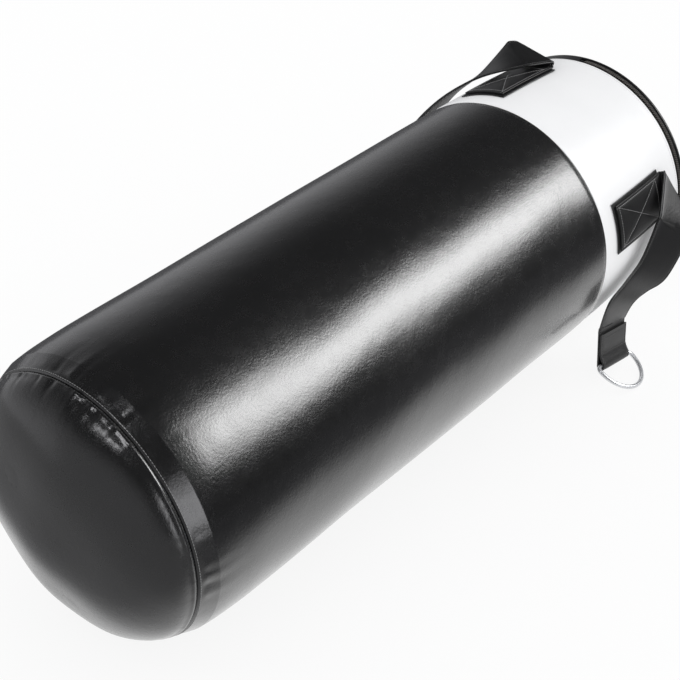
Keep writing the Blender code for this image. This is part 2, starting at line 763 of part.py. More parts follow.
def make_sewn_end(name, root, look):
    """The end that is sewn to the patch, with its half of the fold up to the crest."""
    start, end = PATCH_START + SEWN_INSET, PATCH_END
    stations = [start + (end - start) * i / 3 for i in range(4)]
    inner = [root.row(station, SEWN_OFFSET) for station in stations]
    outer = [root.row(station, SEWN_OFFSET + STRAP) for station in stations]
    if root.folded:
        fold = Fold(root)
        for i in range(6):
            turn = math.pi * i / 10
            shift = fold.normal(turn) * STRAP / 2
            row = spread(fold.pair(turn))
            inner.append([point + shift for point in row])
            outer.append([point - shift for point in row])
    return closed_layers(name, inner, outer, look)


def make_free_strap(name, root, pairs, look):
    """The strap's sheet through its edge pairs, given its thickness by Solidify."""
    rows = [spread(pair) for pair in pairs]
    if not root.folded:
        rows.insert(0, root.row(PATCH_END + CLEARANCE, SEWN_OFFSET + STRAP / 2))
    sheet = bmesh.new()
    grid = [[sheet.verts.new(to_world(point)) for point in row] for row in rows]
    for i in range(len(grid) - 1):
        for j in range(ACROSS):
            sheet.faces.new([grid[i][j], grid[i + 1][j], grid[i + 1][j + 1], grid[i][j + 1]])
    mesh = bpy.data.meshes.new(name)
    sheet.to_mesh(mesh)
    sheet.free()
    made = add_object(name, mesh, look)
    wall = made.modifiers.new("thickness", "SOLIDIFY")
    wall.thickness = STRAP
    wall.offset = 0.0
    wall.use_even_offset = True
    mesh = tidy_faces(evaluated_mesh(made))
    for vertex in mesh.vertices:
        vertex.co.z = max(vertex.co.z, 0.0)
    return move_origin(add_object(name, mesh, look), to_world(fold_hinge(root)[0]))


def ring_outline():
    """The D-ring's centre line in its own plane: x along the bar, y away from it."""
    half = RING_WIDTH / 2
    points = [Vector((x * (half - RING_CORNER), 0.0, 0.0)) for x in (-1.0, -0.33, 0.33, 1.0)]
    for k in (1, 2, 3):
        turn = math.radians(-90 + 30 * k)
        points.append(Vector((half - RING_CORNER + RING_CORNER * math.cos(turn), RING_CORNER + RING_CORNER * math.sin(turn), 0.0)))
    for k in range(1, 12):
        turn = math.pi * k / 12
        points.append(Vector((half * math.cos(turn), RING_CORNER + (RING_DEPTH - RING_CORNER) * math.sin(turn), 0.0)))
    for k in (0, 1, 2):
        turn = math.radians(180 + 30 * k)
        points.append(Vector((-half + RING_CORNER + RING_CORNER * math.cos(turn), RING_CORNER + RING_CORNER * math.sin(turn), 0.0)))
    return points


def make_ring(name, end, away, look):
    """A D-ring whose bar lies in the strap's loop and whose bow points along away."""
    bow = (away - end.width * away.dot(end.width)).normalized()
    origin = to_world(end.bar)
    rotation = Matrix((end.width, bow, end.width.cross(bow))).transposed().to_4x4()
    mesh = curve_mesh(ring_outline(), RING_WIRE / 2, cyclic=True)
    made = add_object(name, mesh, look)
    made.matrix_world = Matrix.Translation(origin) @ rotation
    return made


def flat_start(root):
    """The first edge pair of a strap that runs straight out along the floor."""
    pair = []
    for side in (-1, 1):
        point = root.middle + Vector((0.025, 0.0, 0.0)) + root.width * side * STRAP_WIDTH / 2
        pair.append(Vector((point.x, point.y, max(point.z - 0.006, STRAP / 2 - AXIS_HEIGHT))))
    return tuple(pair)


def off_skin(back, angle, height):
    """A point back from the patch's end, at an angle round the bag and a height over its skin."""
    station = PATCH_END - back
    return round_point(station, angle, bag_radius(station) + height)


def off_side(back, past, height, side):
    """A point back from the patch's end, past the bag's side and over the floor."""
    return Vector((PATCH_END - back, side * (BAG_RADIUS + past), height - AXIS_HEIGHT))


def resting_bow(end):
    """The direction of a ring's bow where its lowest point touches the floor."""
    drop = AXIS_HEIGHT - RING_WIRE / 2 + end.bar.z
    lean = (end.width.z * RING_WIDTH / 2) ** 2
    reach = (RING_DEPTH - RING_CORNER) ** 2 - RING_CORNER ** 2
    slope = (math.sqrt((drop * RING_CORNER) ** 2 + reach * (drop * drop - lean)) - drop * RING_CORNER) / reach
    level = end.width.cross(Vector((0.0, 0.0, 1.0))).normalized()
    down = end.width.cross(level)
    down = down if down.z < 0.0 else -down
    share = slope / abs(down.z)
    return level * math.sqrt(1.0 - share * share) + down * share


def strap_upper():
    """Strap 1, folded back over the upper far side."""
    root = StrapRoot(1, -1)
    places = [off_skin(*place) for place in zip(UPPER_BACK, UPPER_ANGLES, UPPER_OFF_SKIN)]
    widths = [unit(0.75, 0.54, -0.376), unit(0.90, 0.28, -0.334), unit(0.97, 0.10, -0.23)]
    end = StrapEnd(places[-1], unit(-0.02, 0.0, -1.0), unit(1.0, 0.03, 0.0), -1)
    return root, list(zip(places, widths)), end, unit(0.0, 0.05, -1.0)


def strap_near():
    """Strap 2, folded back on the near side, its ring resting on the floor."""
    root = StrapRoot(2, 1)
    places = [off_side(*place, -1) for place in zip(NEAR_BACK, NEAR_OFF_SIDE, NEAR_OFF_FLOOR)]
    widths = [unit(0.64, -0.32, -0.70), unit(0.78, -0.12, -0.61), unit(0.90, -0.09, -0.43)]
    end = StrapEnd(places[-1], unit(-0.169, -0.185, -0.968), unit(0.986, -0.032, -0.164), -1)
    return root, list(zip(places, widths)), end, resting_bow(end)


def strap_under():
    """Strap 3, from under the bag out along the floor past its top end."""
    root = StrapRoot(3, 1)
    floor = STRAP / 2 - AXIS_HEIGHT
    places = [Vector((PATCH_END - back, root.middle.y - aside, floor + hump))
              for back, aside, hump in zip(UNDER_BACK, UNDER_ASIDE, UNDER_HUMP)]
    widths = [unit(0.0, 1.0, 0.0), unit(0.03, 1.0, 0.0), unit(0.06, 1.0, 0.0), unit(0.09, 1.0, 0.0)]
    end = StrapEnd(places[-1] + Vector((0.0, 0.0, LOOP_RADIUS)), unit(1.0, -0.1, 0.0), unit(0.1, 1.0, 0.0), 1)
    return root, list(zip(places, widths)), end, unit(1.0, -0.1, -flat_ring_slope())


def strap_far():
    """Strap 4, folded back on the far side and laid on the floor there."""
    root = StrapRoot(4, -1)
    places = [off_side(*place, 1) for place in zip(FAR_BACK, FAR_OFF_SIDE, FAR_OFF_FLOOR)]
    widths = [unit(0.80, 0.36, -0.48), unit(0.72, 0.69, -0.09), unit(0.60, 0.80, 0.0)]
    bar = places[-1] + Vector((0.0, 0.0, STRAP / 2 + LOOP_RADIUS))
    end = StrapEnd(bar, unit(-0.82, 0.57, 0.0), unit(0.57, 0.82, 0.0), -1)
    return root, list(zip(places, widths)), end, unit(-0.82, 0.57, -flat_ring_slope())


def flat_ring_slope():
    """How steeply a ring's bow falls where its strap lies flat on the floor."""
    return (LOOP_RADIUS + STRAP / 2 - RING_WIRE / 2) / RING_DEPTH


def make_strap(number, strap, vinyl, webbing, chrome):
    root, frames, end, away = strap
    plate_on_bag(f"strap_{number}_patch", root.angle, PATCH_START, PATCH_END, PATCH_WIDTH, PATCH_OFFSET, PATCH, vinyl)
    make_sewn_end(f"strap_{number}_sewn_end", root, webbing)
    first = Fold(root).free_pairs() if root.folded else [flat_start(root)]
    make_free_strap(f"strap_{number}", root, strap_frames(first, frames, end), webbing)
    make_ring(f"d_ring_{number}", end, away, chrome)


def clear_scene():
    for obj in list(bpy.data.objects):
        bpy.data.objects.remove(obj)
    for name in (COLLECTION, "cutters"):
        collection = bpy.data.collections.new(name)
        bpy.context.scene.collection.children.link(collection)
    bpy.data.collections["cutters"].hide_render = True


def main():
    clear_scene()
    black_vinyl = material("black_vinyl", (0.022, 0.022, 0.024), 0.38)
    white_vinyl = material("white_vinyl", (0.86, 0.86, 0.87), 0.42)
    strap_vinyl = material("strap_vinyl", (0.035, 0.035, 0.037), 0.50)
    zip_tape = material("zip_tape", (0.030, 0.030, 0.032), 0.85)
    zip_teeth = material("zip_teeth", (0.085, 0.075, 0.070), 0.45)
    zip_metal = material("zip_metal", (0.10, 0.10, 0.11), 0.35, 1.0)
    chrome = material("chrome", (0.78, 0.79, 0.81), 0.12, 1.0)
    textile = material("textile", (0.42, 0.40, 0.38), 0.95)
    make_bottom_panel(black_vinyl)
    make_side_panel(black_vinyl)
    make_top_band(white_vinyl)
    make_filling(textile)
    make_zip(zip_tape, zip_teeth, zip_metal)
    make_cup("lid_hinge_strip", BAND_END + CLEARANCE, True, black_vinyl)
    lid = make_cup("lid_panel", TOP_STATION - LID_SKIRT, False, black_vinyl)
    move_origin(lid, lid_hinge_point())
    make_slider(zip_metal)
    for number, strap in enumerate((strap_upper, strap_near, strap_under, strap_far), 1):
        make_strap(number, strap(), strap_vinyl, strap_vinyl, chrome)


main()
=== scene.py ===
# %% [markdown]
# # A stuffed punching bag lying on its side
# The bag is a vinyl tube packed with textile, with a sewn-in dome at the bottom and a white band
# with four straps and a zipped lid at the top. The measured model gives every place and size. This
# lesson dresses it: finer shapes, stitches, and a finish for each material.

# %% Load the measured model
import math

import bmesh
import bpy
import numpy as np
from mathutils import Matrix, Vector


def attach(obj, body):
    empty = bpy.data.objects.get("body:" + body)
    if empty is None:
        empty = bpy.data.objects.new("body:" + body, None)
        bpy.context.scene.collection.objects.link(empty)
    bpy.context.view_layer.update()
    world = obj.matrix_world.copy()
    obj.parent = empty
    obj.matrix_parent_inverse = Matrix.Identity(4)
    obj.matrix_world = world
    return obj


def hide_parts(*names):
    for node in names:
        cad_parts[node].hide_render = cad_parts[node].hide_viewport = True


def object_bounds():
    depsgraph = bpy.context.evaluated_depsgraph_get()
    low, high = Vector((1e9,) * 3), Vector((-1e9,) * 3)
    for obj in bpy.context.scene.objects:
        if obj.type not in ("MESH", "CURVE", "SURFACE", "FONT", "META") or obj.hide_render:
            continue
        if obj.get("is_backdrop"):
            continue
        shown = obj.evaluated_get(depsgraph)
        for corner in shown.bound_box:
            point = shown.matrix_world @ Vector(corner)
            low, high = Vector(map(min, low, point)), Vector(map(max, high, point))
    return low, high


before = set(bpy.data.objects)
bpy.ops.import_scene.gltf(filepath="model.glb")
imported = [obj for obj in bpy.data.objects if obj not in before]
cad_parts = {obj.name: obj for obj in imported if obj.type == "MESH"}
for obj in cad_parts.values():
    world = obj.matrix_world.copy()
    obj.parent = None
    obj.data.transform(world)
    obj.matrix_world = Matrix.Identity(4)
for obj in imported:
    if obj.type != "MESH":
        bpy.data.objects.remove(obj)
cad_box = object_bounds()
print("measured model", [round(v * 1000) for v in cad_box[1] - cad_box[0]], "mm")

# %% [markdown]
# ## Sizes
# The same sizes as the measured model, in metres. The bag's axis runs along X, and stations are
# counted along it from the bottom seam. Angles go round the axis from the far side over the top.

# %% Sizes of the bag
BAG_RADIUS = 0.150
BOTTOM_SEAM_RADIUS = BAG_RADIUS - 0.012
BAND_SEAM_RADIUS = BAG_RADIUS - 0.001
TOP_RADIUS = BAND_SEAM_RADIUS - 0.0085
PANEL_LENGTH = 0.624
BAND_LENGTH = 0.167
SHOULDER_LENGTH = 0.075
STRAIGHT_END = 0.450
DOME_DEPTH = 0.055
SKIN = 0.0015
INSIDE = -SKIN - 0.0004
SEAM_GAP = 0.00015
THREAD_LIFT = 0.0002
SAG = 0.003
REST_STATION = 0.350
AXIS_HEIGHT = BAG_RADIUS - SAG
BAND_END = PANEL_LENGTH + BAND_LENGTH
ZIP_WIDTH = 0.0110
LID_SKIRT = 0.0030
LID_CROWN = 0.006
TOP_STATION = BAND_END + ZIP_WIDTH + LID_SKIRT
HINGE_ANGLE = 62.0
HINGE_HALF_ANGLE = 22.0

# %% Sizes of the straps
STRAP_ANGLES = (72.0, 164.0, 252.0, 342.0)
STRAP_WIDTH = 0.054
STRAP = 0.0022
PATCH = 0.0014
PATCH_WIDTH = 0.060
PATCH_START = PANEL_LENGTH + 0.021
PATCH_END = PATCH_START + 0.101
PATCH_OFFSET = 0.0005
SEWN_OFFSET = 0.0022
STACK = SEWN_OFFSET + STRAP
SHEET_HEIGHT = SEWN_OFFSET + STRAP / 2
SEWN_INSET = 0.004
FOLD_HALF_ANGLES = (13.0, 12.0, 0.0, 15.0)
FOLD_RULINGS = (105.0, 86.0, 90.0, 91.0)
FOLD_APEX_OUT = 0.007
FOLD_START = 0.001
HEM_LENGTH = 0.038
HEM_CLOSES_IN = 0.014
CLEARANCE = 0.0003
RING_WIRE = 0.0050
RING_DEPTH = 0.040
RING_CORNER = 0.006
RING_WIDTH = STRAP_WIDTH + 2 * RING_CORNER
LOOP_RADIUS = RING_WIRE / 2 + CLEARANCE + 0.0002 + STRAP / 2
print("bag", round((TOP_STATION + DOME_DEPTH) * 1000), "mm long")

# %% [markdown]
# ## The camera
# The camera stands at the photograph's viewing angle, above the bag's lower left end. Its place
# came from fitting the bag's outlines and seams.

# %% Camera
def put(name, data):
    """A new object in the scene."""
    made = bpy.data.objects.new(name, data)
    bpy.context.scene.collection.objects.link(made)
    return made


CAMERA_AT = Vector((-0.9311, -0.7969, 1.0557))
CAMERA_FORWARD = Vector((0.6066, 0.5211, -0.6005)).normalized()
CAMERA_RIGHT = Vector((0.6516, -0.7585, 0.0)).normalized()
camera_up = CAMERA_RIGHT.cross(CAMERA_FORWARD).normalized()
lens = bpy.data.cameras.new("camera")
lens.sensor_width = 36.0
lens.lens = 77.39
camera = put("camera", lens)
turn = Matrix((CAMERA_RIGHT, camera_up, -CAMERA_FORWARD)).transposed().to_4x4()
camera.matrix_world = Matrix.Translation(CAMERA_AT) @ turn
bpy.context.scene.camera = camera
bpy.context.scene.view_settings.view_transform = "Standard"

# %% [markdown]
# ## Writing materials as sums
# A procedural finish is mostly arithmetic on noise. A small class wraps a node's socket, so that
# an expression such as 1 - mask adds the Math node by itself. Colours go through Mix nodes. A
# recipe keeps one tree of nodes and adds to it.


# %% A shader value that can be added and multiplied
class Value:
    def __init__(self, recipe, socket):
        self.recipe = recipe
        self.socket = socket

    def combine(self, operation, first, second):
        return self.recipe.node("ShaderNodeMath", {"operation": operation}, {0: first, 1: second})["Value"]

    def __add__(self, other):
        return self.combine("ADD", self, other)

    def __radd__(self, other):
        return self.combine("ADD", other, self)

    def __sub__(self, other):
        return self.combine("SUBTRACT", self, other)

    def __rsub__(self, other):
        return self.combine("SUBTRACT", other, self)

    def __neg__(self):
        return 0.0 - self

    def __mul__(self, other):
        return self.combine("MULTIPLY", self, other)

    def __rmul__(self, other):
        return self.combine("MULTIPLY", other, self)

    def __pow__(self, other):
        return self.combine("POWER", self, other)

    def __abs__(self):
        return self.combine("ABSOLUTE", self, 0.0)

    def at_least(self, low):
        return self.combine("MAXIMUM", self, low)

    def above(self, edge, soft):
        """0 below the edge and 1 above it, over a soft step."""
        settings = {"interpolation_type": "SMOOTHSTEP"}
        values = {"Value": self, "From Min": edge - soft, "From Max": edge + soft}
        return self.recipe.node("ShaderNodeMapRange", settings, values)["Result"]

    def below(self, edge, soft):
        """1 below the edge and 0 above it."""
        return 1.0 - self.above(edge, soft)


# %% A material under construction
class Outputs:
    def __init__(self, recipe, made):
        self.recipe = recipe
        self.made = made

    def __getitem__(self, name):
        return Value(self.recipe, self.made.outputs[name])


class Recipe:
    """A tree of nodes: a material's, or another one that is given and emptied."""

    def __init__(self, name, tree=None):
        self.tree = tree
        if tree is None:
            self.material = bpy.data.materials.new(name)
            self.material.use_nodes = True
            self.tree = self.material.node_tree

    def empty(self):
        for node in list(self.tree.nodes):
            self.tree.nodes.remove(node)
        return self

    def node(self, kind, settings=None, values=None):
        made = self.tree.nodes.new(kind)
        for name, setting in (settings or {}).items():
            setattr(made, name, setting)
        for name, value in (values or {}).items():
            self.feed(made.inputs[name], value)
        return Outputs(self, made)

    def feed(self, socket, value):
        if isinstance(value, Value):
            self.tree.links.new(value.socket, socket)
        elif isinstance(value, tuple) and socket.type == "RGBA":
            socket.default_value = (*value, 1.0)
        else:
            socket.default_value = value

    def place(self):
        return self.node("ShaderNodeTexCoord")["Object"]

    def noise(self, scale, detail, rough, place=None, warp=0.0):
        values = {"Scale": scale, "Detail": detail, "Roughness": rough, "Distortion": warp,
                  "Vector": place or self.place()}
        return self.node("ShaderNodeTexNoise", None, values)["Fac"]

    def cells(self, feature, scale, place):
        return self.node("ShaderNodeTexVoronoi", {"feature": feature}, {"Scale": scale, "Vector": place})

    def wave(self, direction, scale, warp, place):
        settings = {"wave_type": "BANDS", "bands_direction": direction}
        return self.node("ShaderNodeTexWave", settings, {"Scale": scale, "Distortion": warp, "Vector": place})["Fac"]

    def mix(self, share, first, second):
        """The mix of two colours. The colour sockets of a Mix node are its 6, 7 and 2."""
        return self.node("ShaderNodeMix", {"data_type": "RGBA"}, {0: share, 6: first, 7: second})[2]

    def bump(self, height, distance):
        return self.node("ShaderNodeBump", None, {"Height": height, "Distance": distance})["Normal"]

    def surface(self, **values):
        shader = self.tree.nodes["Principled BSDF"]
        for name, value in values.items():
            self.feed(shader.inputs[name.replace("_", " ")], value)
        return self.material

    def parts(self, place):
        return self.node("ShaderNodeSeparateXYZ", None, {0: place})

    def along(self, direction, vector):
        values = {0: direction, 1: vector}
        return self.node("ShaderNodeVectorMath", {"operation": "DOT_PRODUCT"}, values)["Value"]

    def shine(self, kind, colour, strength=1.0):
        return self.node("ShaderNode" + kind, None, {"Color": colour, "Strength": strength})[kind]

    def blend(self, share, first, second):
        return self.node("ShaderNodeMixShader", None, {0: share, 1: first, 2: second})["Shader"]


print("material tools ready")

# %% [markdown]
# ## The finishes
# The long panel and the bottom are black glossy vinyl. A roller presses a fine leather grain
# into it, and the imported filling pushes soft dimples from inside. Both show only as broken
# edges of the highlight, so they are bumps and no geometry.


# %% Black and white vinyl
def vinyl(name, dark, light, gloss, grain, dimple, coat, specular):
    look = Recipe(name)
    fine = look.noise(900.0, 1.0, 0.5)
    grit = look.noise(430.0, 2.0, 0.6)
    soft = look.noise(85.0, 3.0, 0.55)
    broad = look.noise(24.0, 2.0, 0.5)
    wear = look.noise(9.0, 4.0, 0.6)
    height = (fine * 0.3 + grit * 3.4) * grain + (soft * 0.5 + broad * 2.9) * dimple
    colour = look.mix(wear.above(0.5, 0.25), dark, light)
    roughness = gloss + (soft - 0.5) * 0.10 + (wear - 0.5) * 0.08 + (fine - 0.5) * 0.06
    return look.surface(Base_Color=colour, Roughness=roughness, Normal=look.bump(height, 1.0),
                        Specular_IOR_Level=specular, Coat_Weight=coat, Coat_Roughness=0.19)


black_vinyl = vinyl("black_vinyl", (0.0034, 0.0034, 0.0036), (0.0056, 0.0056, 0.0060),
                    gloss=0.26, grain=0.00007, dimple=0.00030, coat=1.0, specular=1.0)
white_vinyl = vinyl("white_vinyl", (0.86, 0.86, 0.865), (0.89, 0.89, 0.893),
                    gloss=0.40, grain=0.00003, dimple=0.00006, coat=0.0, specular=0.5)
strap_vinyl = vinyl("strap_vinyl", (0.0066, 0.0066, 0.0071), (0.0105, 0.0105, 0.0111),
                    gloss=0.38, grain=0.00005, dimple=0.00008, coat=0.0, specular=0.58)
lid_vinyl = vinyl("lid_vinyl", (0.009, 0.009, 0.010), (0.014, 0.014, 0.015),
                  gloss=0.36, grain=0.00005, dimple=0.00014, coat=0.2, specular=0.6)
print(len(bpy.data.materials), "materials so far")

# %% [markdown]
# The rings are steel wire with a bright chrome plating. Handling leaves faint cloudy marks, so
# the roughness varies a little. The zip's tape is a ribbed weave, its teeth are a matt nylon
# coil, and the slider and stops are cast metal under black enamel.

# %% Metal, zip and thread
def chrome_plating():
    look = Recipe("chrome")
    clouds = look.noise(60.0, 3.0, 0.6)
    marks = look.noise(700.0, 2.0, 0.7)
    colour = look.mix(clouds, (0.66, 0.67, 0.69), (0.80, 0.81, 0.83))
    roughness = 0.20 + clouds * 0.12 + marks.above(0.62, 0.05) * 0.10
    return look.surface(Base_Color=colour, Roughness=roughness, Metallic=0.62 + clouds * 0.10,
                        Normal=look.bump(marks, 0.00002))


def enamel():
    look = Recipe("zip_metal")
    worn = look.noise(900.0, 4.0, 0.7).above(0.66, 0.05)
    colour = look.mix(worn, (0.020, 0.020, 0.022), (0.24, 0.22, 0.19))
    return look.surface(Base_Color=colour, Roughness=0.28 + worn * 0.15, Metallic=0.2 + worn * 0.7,
                        Normal=look.bump(look.noise(1200.0, 2.0, 0.5), 0.00003))


def nylon():
    look = Recipe("zip_teeth")
    tone = look.noise(300.0, 2.0, 0.5)
    colour = look.mix(tone, (0.040, 0.034, 0.030), (0.085, 0.074, 0.066))
    return look.surface(Base_Color=colour, Roughness=0.38 + tone * 0.15,
                        Normal=look.bump(look.noise(2500.0, 1.0, 0.5), 0.00002))


def woven_tape():
    look = Recipe("zip_tape")
    where = look.node("ShaderNodeUVMap", {"uv_map": "cloth"})["UV"]
    weave = look.wave("X", 420.0, 0.6, where) * 0.7 + look.wave("Y", 300.0, 0.4, where) * 0.5
    colour = look.mix(weave, (0.010, 0.010, 0.011), (0.034, 0.033, 0.033))
    return look.surface(Base_Color=colour, Roughness=0.78 + weave * 0.1, Normal=look.bump(weave, 0.00012))


def thread(name, dark, light):
    """A twisted thread between two levels of grey."""
    look = Recipe(name)
    twist = look.wave("DIAGONAL", 900.0, 1.0, look.place())
    return look.surface(Base_Color=look.mix(twist, (dark,) * 3, (light,) * 3), Roughness=0.55 + twist * 0.15,
                        Normal=look.bump(twist, 0.00004))


def packed_textile():
    """Cloth scraps: cells with a bent outline, a few dyes and painted shade in the gaps between them."""
    look = Recipe("textile")
    place = look.place()
    ruffles = look.node("ShaderNodeTexNoise", None, {"Scale": 55.0, "Detail": 4.0, "Vector": place})["Color"]
    bent = look.mix(0.035, place, ruffles)
    scraps = look.cells("F1", 34.0, bent)
    painted_gap_shade = look.cells("DISTANCE_TO_EDGE", 34.0, bent)["Distance"]
    fluff = look.noise(420.0, 5.0, 0.7)
    creases = look.noise(110.0, 3.0, 0.6, bent, 1.5)
    chance = look.node("ShaderNodeSeparateColor", None, {"Color": scraps["Color"]})
    shade = look.mix(chance["Red"].above(0.50, 0.45), (0.070, 0.073, 0.080), (0.42, 0.40, 0.37))
    shade = look.mix(chance["Green"].above(0.76, 0.02) * 0.8, shade, (0.14, 0.17, 0.23))
    shade = look.mix(fluff.above(0.50, 0.30) * 0.55, shade, (0.36, 0.35, 0.34))
    # Painted shade: the gaps between the scraps are darkened as if shade falls into them.
    colour = look.mix(painted_gap_shade.above(0.03, 0.06), (0.05, 0.05, 0.05), shade)
    height = scraps["Distance"] * 0.4 + fluff * 0.3 + creases * 0.6
    return look.surface(Base_Color=colour, Roughness=0.9, Normal=look.bump(height, 0.008))


chrome = chrome_plating()
zip_metal = enamel()
zip_nylon = nylon()
zip_tape = woven_tape()
black_thread = thread("black_thread", 0.012, 0.045)
dark_thread = thread("dark_thread", 0.06, 0.14)
grey_thread = thread("grey_thread", 0.20, 0.36)
white_thread = thread("white_thread", 0.62, 0.80)
textile = packed_textile()
print(len(bpy.data.materials), "materials")

# %% [markdown]
# ## The shape of the stuffed bag
# Every cover lies on one rule: a radius for each station, flattened where it rests on the floor.
# Arrays do the arithmetic for a whole grid of points at once.


# %% The bag's rule
def ease(value, low, high):
    share = np.clip((value - low) / (high - low), 0.0, 1.0)
    return share * share * (3 - 2 * share)


def bag_radius(station):
    station = np.asarray(station, float)
    rest = 1.0 - np.clip(station, 0.0, SHOULDER_LENGTH) / SHOULDER_LENGTH
    shoulder = BOTTOM_SEAM_RADIUS + (BAG_RADIUS - BOTTOM_SEAM_RADIUS) * np.sqrt(1.0 - rest * rest)
    slope = np.clip((station - STRAIGHT_END) / (PANEL_LENGTH - STRAIGHT_END), 0.0, 1.0)
    share = np.clip((station - PANEL_LENGTH) / BAND_LENGTH, 0.0, 1.0)
    return (shoulder - (BAG_RADIUS - BAND_SEAM_RADIUS) * slope ** 2
            - (BAND_SEAM_RADIUS - TOP_RADIUS) * share ** 2)


def settle(points, height):
    """Flattens points on the floor and over the strap that lies under the bag."""
    centre = BAG_RADIUS * math.cos(math.radians(STRAP_ANGLES[2]))
    station, y = points[..., 0], points[..., 1]
    along = (ease(station, PATCH_START - 0.012, PATCH_START - 0.006)
             * (1 - ease(station, PATCH_END + 0.006, PATCH_END + 0.012)))
    across = 1 - ease(np.abs(y - centre), PATCH_WIDTH / 2 + 0.011, PATCH_WIDTH / 2 + 0.017)
    floor = STACK * along * across - AXIS_HEIGHT - height
    points[..., 2] = np.maximum(points[..., 2], floor)
    return points


def rim_points(station, angle, radius):
    """Points in axis space at a radius. Angles are in degrees."""
    turned = np.radians(angle)
    return np.stack(np.broadcast_arrays(station, radius * np.cos(turned), radius * np.sin(turned)), axis=-1)


def on_bag(station, angle, height):
    """Points in axis space at a height over the skin."""
    return settle(rim_points(station, angle, bag_radius(station) + height), height)


def full_turn(count):
    """Angles for equal steps round the bag."""
    return np.linspace(0.0, 360.0, count + 1)[:-1]


def to_world(points):
    return np.asarray(points, float) + np.array([-REST_STATION, 0.0, AXIS_HEIGHT])


# %% Making a mesh from a grid of points
def quads(index):
    """Faces between the neighbours in a grid of point numbers."""
    return np.stack([index[:-1, :-1], index[:-1, 1:], index[1:, 1:], index[1:, :-1]], axis=-1).reshape(-1, 4)


def finish_mesh(name, points, faces, look, smooth_angle=40.0, uv=None):
    mesh = bpy.data.meshes.new(name)
    mesh.from_pydata(to_world(points).tolist(), [], faces)
    if uv is not None:
        layer = mesh.uv_layers.new(name="cloth")
        index = np.empty(len(mesh.loops), int)
        mesh.loops.foreach_get("vertex_index", index)
        layer.data.foreach_set("uv", uv.reshape(-1, 2)[index].astype(np.float32).ravel())
    shape = bmesh.new()
    shape.from_mesh(mesh)
    bmesh.ops.remove_doubles(shape, verts=shape.verts, dist=2e-6)
    bmesh.ops.dissolve_degenerate(shape, edges=shape.edges, dist=1e-7)
    bmesh.ops.recalc_face_normals(shape, faces=shape.faces)
    shape.to_mesh(mesh)
    shape.free()
    mesh.materials.append(look)
    mesh.shade_smooth()
    mesh.set_sharp_from_angle(angle=math.radians(smooth_angle))
    return put(name, mesh)


def grid_object(name, grid, look, loop_rows=False, loop_columns=False, caps=False, smooth_angle=40.0, uv=None):
    """A mesh over a grid of axis-space points. A looped direction closes on itself."""
    rows, columns = grid.shape[:2]
    index = np.arange(rows * columns).reshape(rows, columns)
    if loop_rows:
        index = np.concatenate([index, index[:1]])
    if loop_columns:
        index = np.concatenate([index, index[:, :1]], axis=1)
    faces = quads(index).tolist()
    if caps:
        faces.append([i * columns for i in range(rows)])
        faces.append([i * columns + columns - 1 for i in range(rows)][::-1])
    return finish_mesh(name, grid.reshape(-1, 3), faces, look, smooth_angle, uv)


def dress(made, body, node):
    """Ties a piece to its moving body and hides the measured solid that it takes the place of."""
    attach(made, body)
    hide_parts(node)
    print(made.name, len(made.data.polygons), "faces")
    return made


# %% Lists of stitch lines
# Each kind of stitch collects its lines here, and one step sews them all at the end.
STITCHES = {}


def sew(body, thread_look, lines, closed=False):
    """Keeps lines of axis-space points for a body and a thread."""
    STITCHES.setdefault((body, thread_look.name), []).extend((np.asarray(line, float), closed) for line in lines)


# %% Uneven shapes
def ripples(angle, seed, count, narrow, wide):
    """Irregular folds round the bag: a few dozen bumps of uneven width and height."""
    pick = np.random.default_rng(seed)
    total = np.zeros_like(angle)
    bumps = pick.uniform(0, 360, count), pick.uniform(narrow, wide, count), pick.uniform(-1, 1, count)
    for centre, width, size in zip(*bumps):
        apart = (angle - centre + 180.0) % 360.0 - 180.0
        total += size * np.exp(-(apart / width) ** 2)
    return total


def lumps(station, angle, seed, size):
    """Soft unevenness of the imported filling, from a few long waves."""
    pick = np.random.default_rng(seed)
    total = np.zeros(np.broadcast(station, angle).shape)
    for k in range(10):
        turns = pick.integers(1, 9)
        wave = pick.uniform(8.0, 42.0)
        total += np.sin(np.radians(angle) * turns + station * wave + pick.uniform(0, 6.28)) / (1 + 0.3 * k)
    return total * size / 3.0


# %% [markdown]
# ## The covers
# Three covers of vinyl show: the domed bottom, the long panel and the white band. Each is a
# closed shell with a rolled edge where it turns into a seam. The turned seam at the bottom
# pulls the vinyl into short puckers, and its allowance makes a low ridge beside it.

# %% The long panel and the white band
RIDGE_END = 0.0190


def gathers(angle, seed):
    """Short folds in groups: the turned seam gathers the vinyl more in some stretches."""
    strong = np.clip(ripples(angle, seed + 40, 9, 14.0, 26.0), 0.12, 1.0)
    return ripples(angle, seed, 110, 1.0, 2.6) * strong


def pinch(station):
    """The dip at the seam between black and white."""
    return np.exp(-((station - PANEL_LENGTH) / 0.0042) ** 2) * 0.0008


def panel_relief(station, angle):
    """Height of the panel's surface over the plain rule, near and far from its seams."""
    low = ease(station, 0.0, 0.0015) - 1.0
    cone = np.interp(station, [0.0, RIDGE_END], [0.1395, 0.1466]) - bag_radius(station)
    behind = np.interp(station, [RIDGE_END, 0.0205, 0.050], [0.00058, 0.00052, 0.0])
    ridge = np.where(station < RIDGE_END, cone, behind)
    fade = ease(station, 0.002, 0.007) * np.exp(-np.clip(station - 0.008, 0, 1) / 0.016)
    folds = gathers(angle, 269) * 0.0015
    return (low * 0.0014 + ridge + fade * folds - pinch(station)
            + lumps(station, angle, 11, 0.0008) * ease(station, 0.02, 0.08))


def band_relief(station, angle):
    hem = ease(station, BAND_END - 0.0105, BAND_END - 0.009) * 0.0003
    edge = ease(station, BAND_END - 0.0015, BAND_END) * 0.0007
    soft = lumps(station, angle, 23, 0.00035) * ease(station, PANEL_LENGTH, PANEL_LENGTH + 0.02)
    return hem - edge - pinch(station) + soft


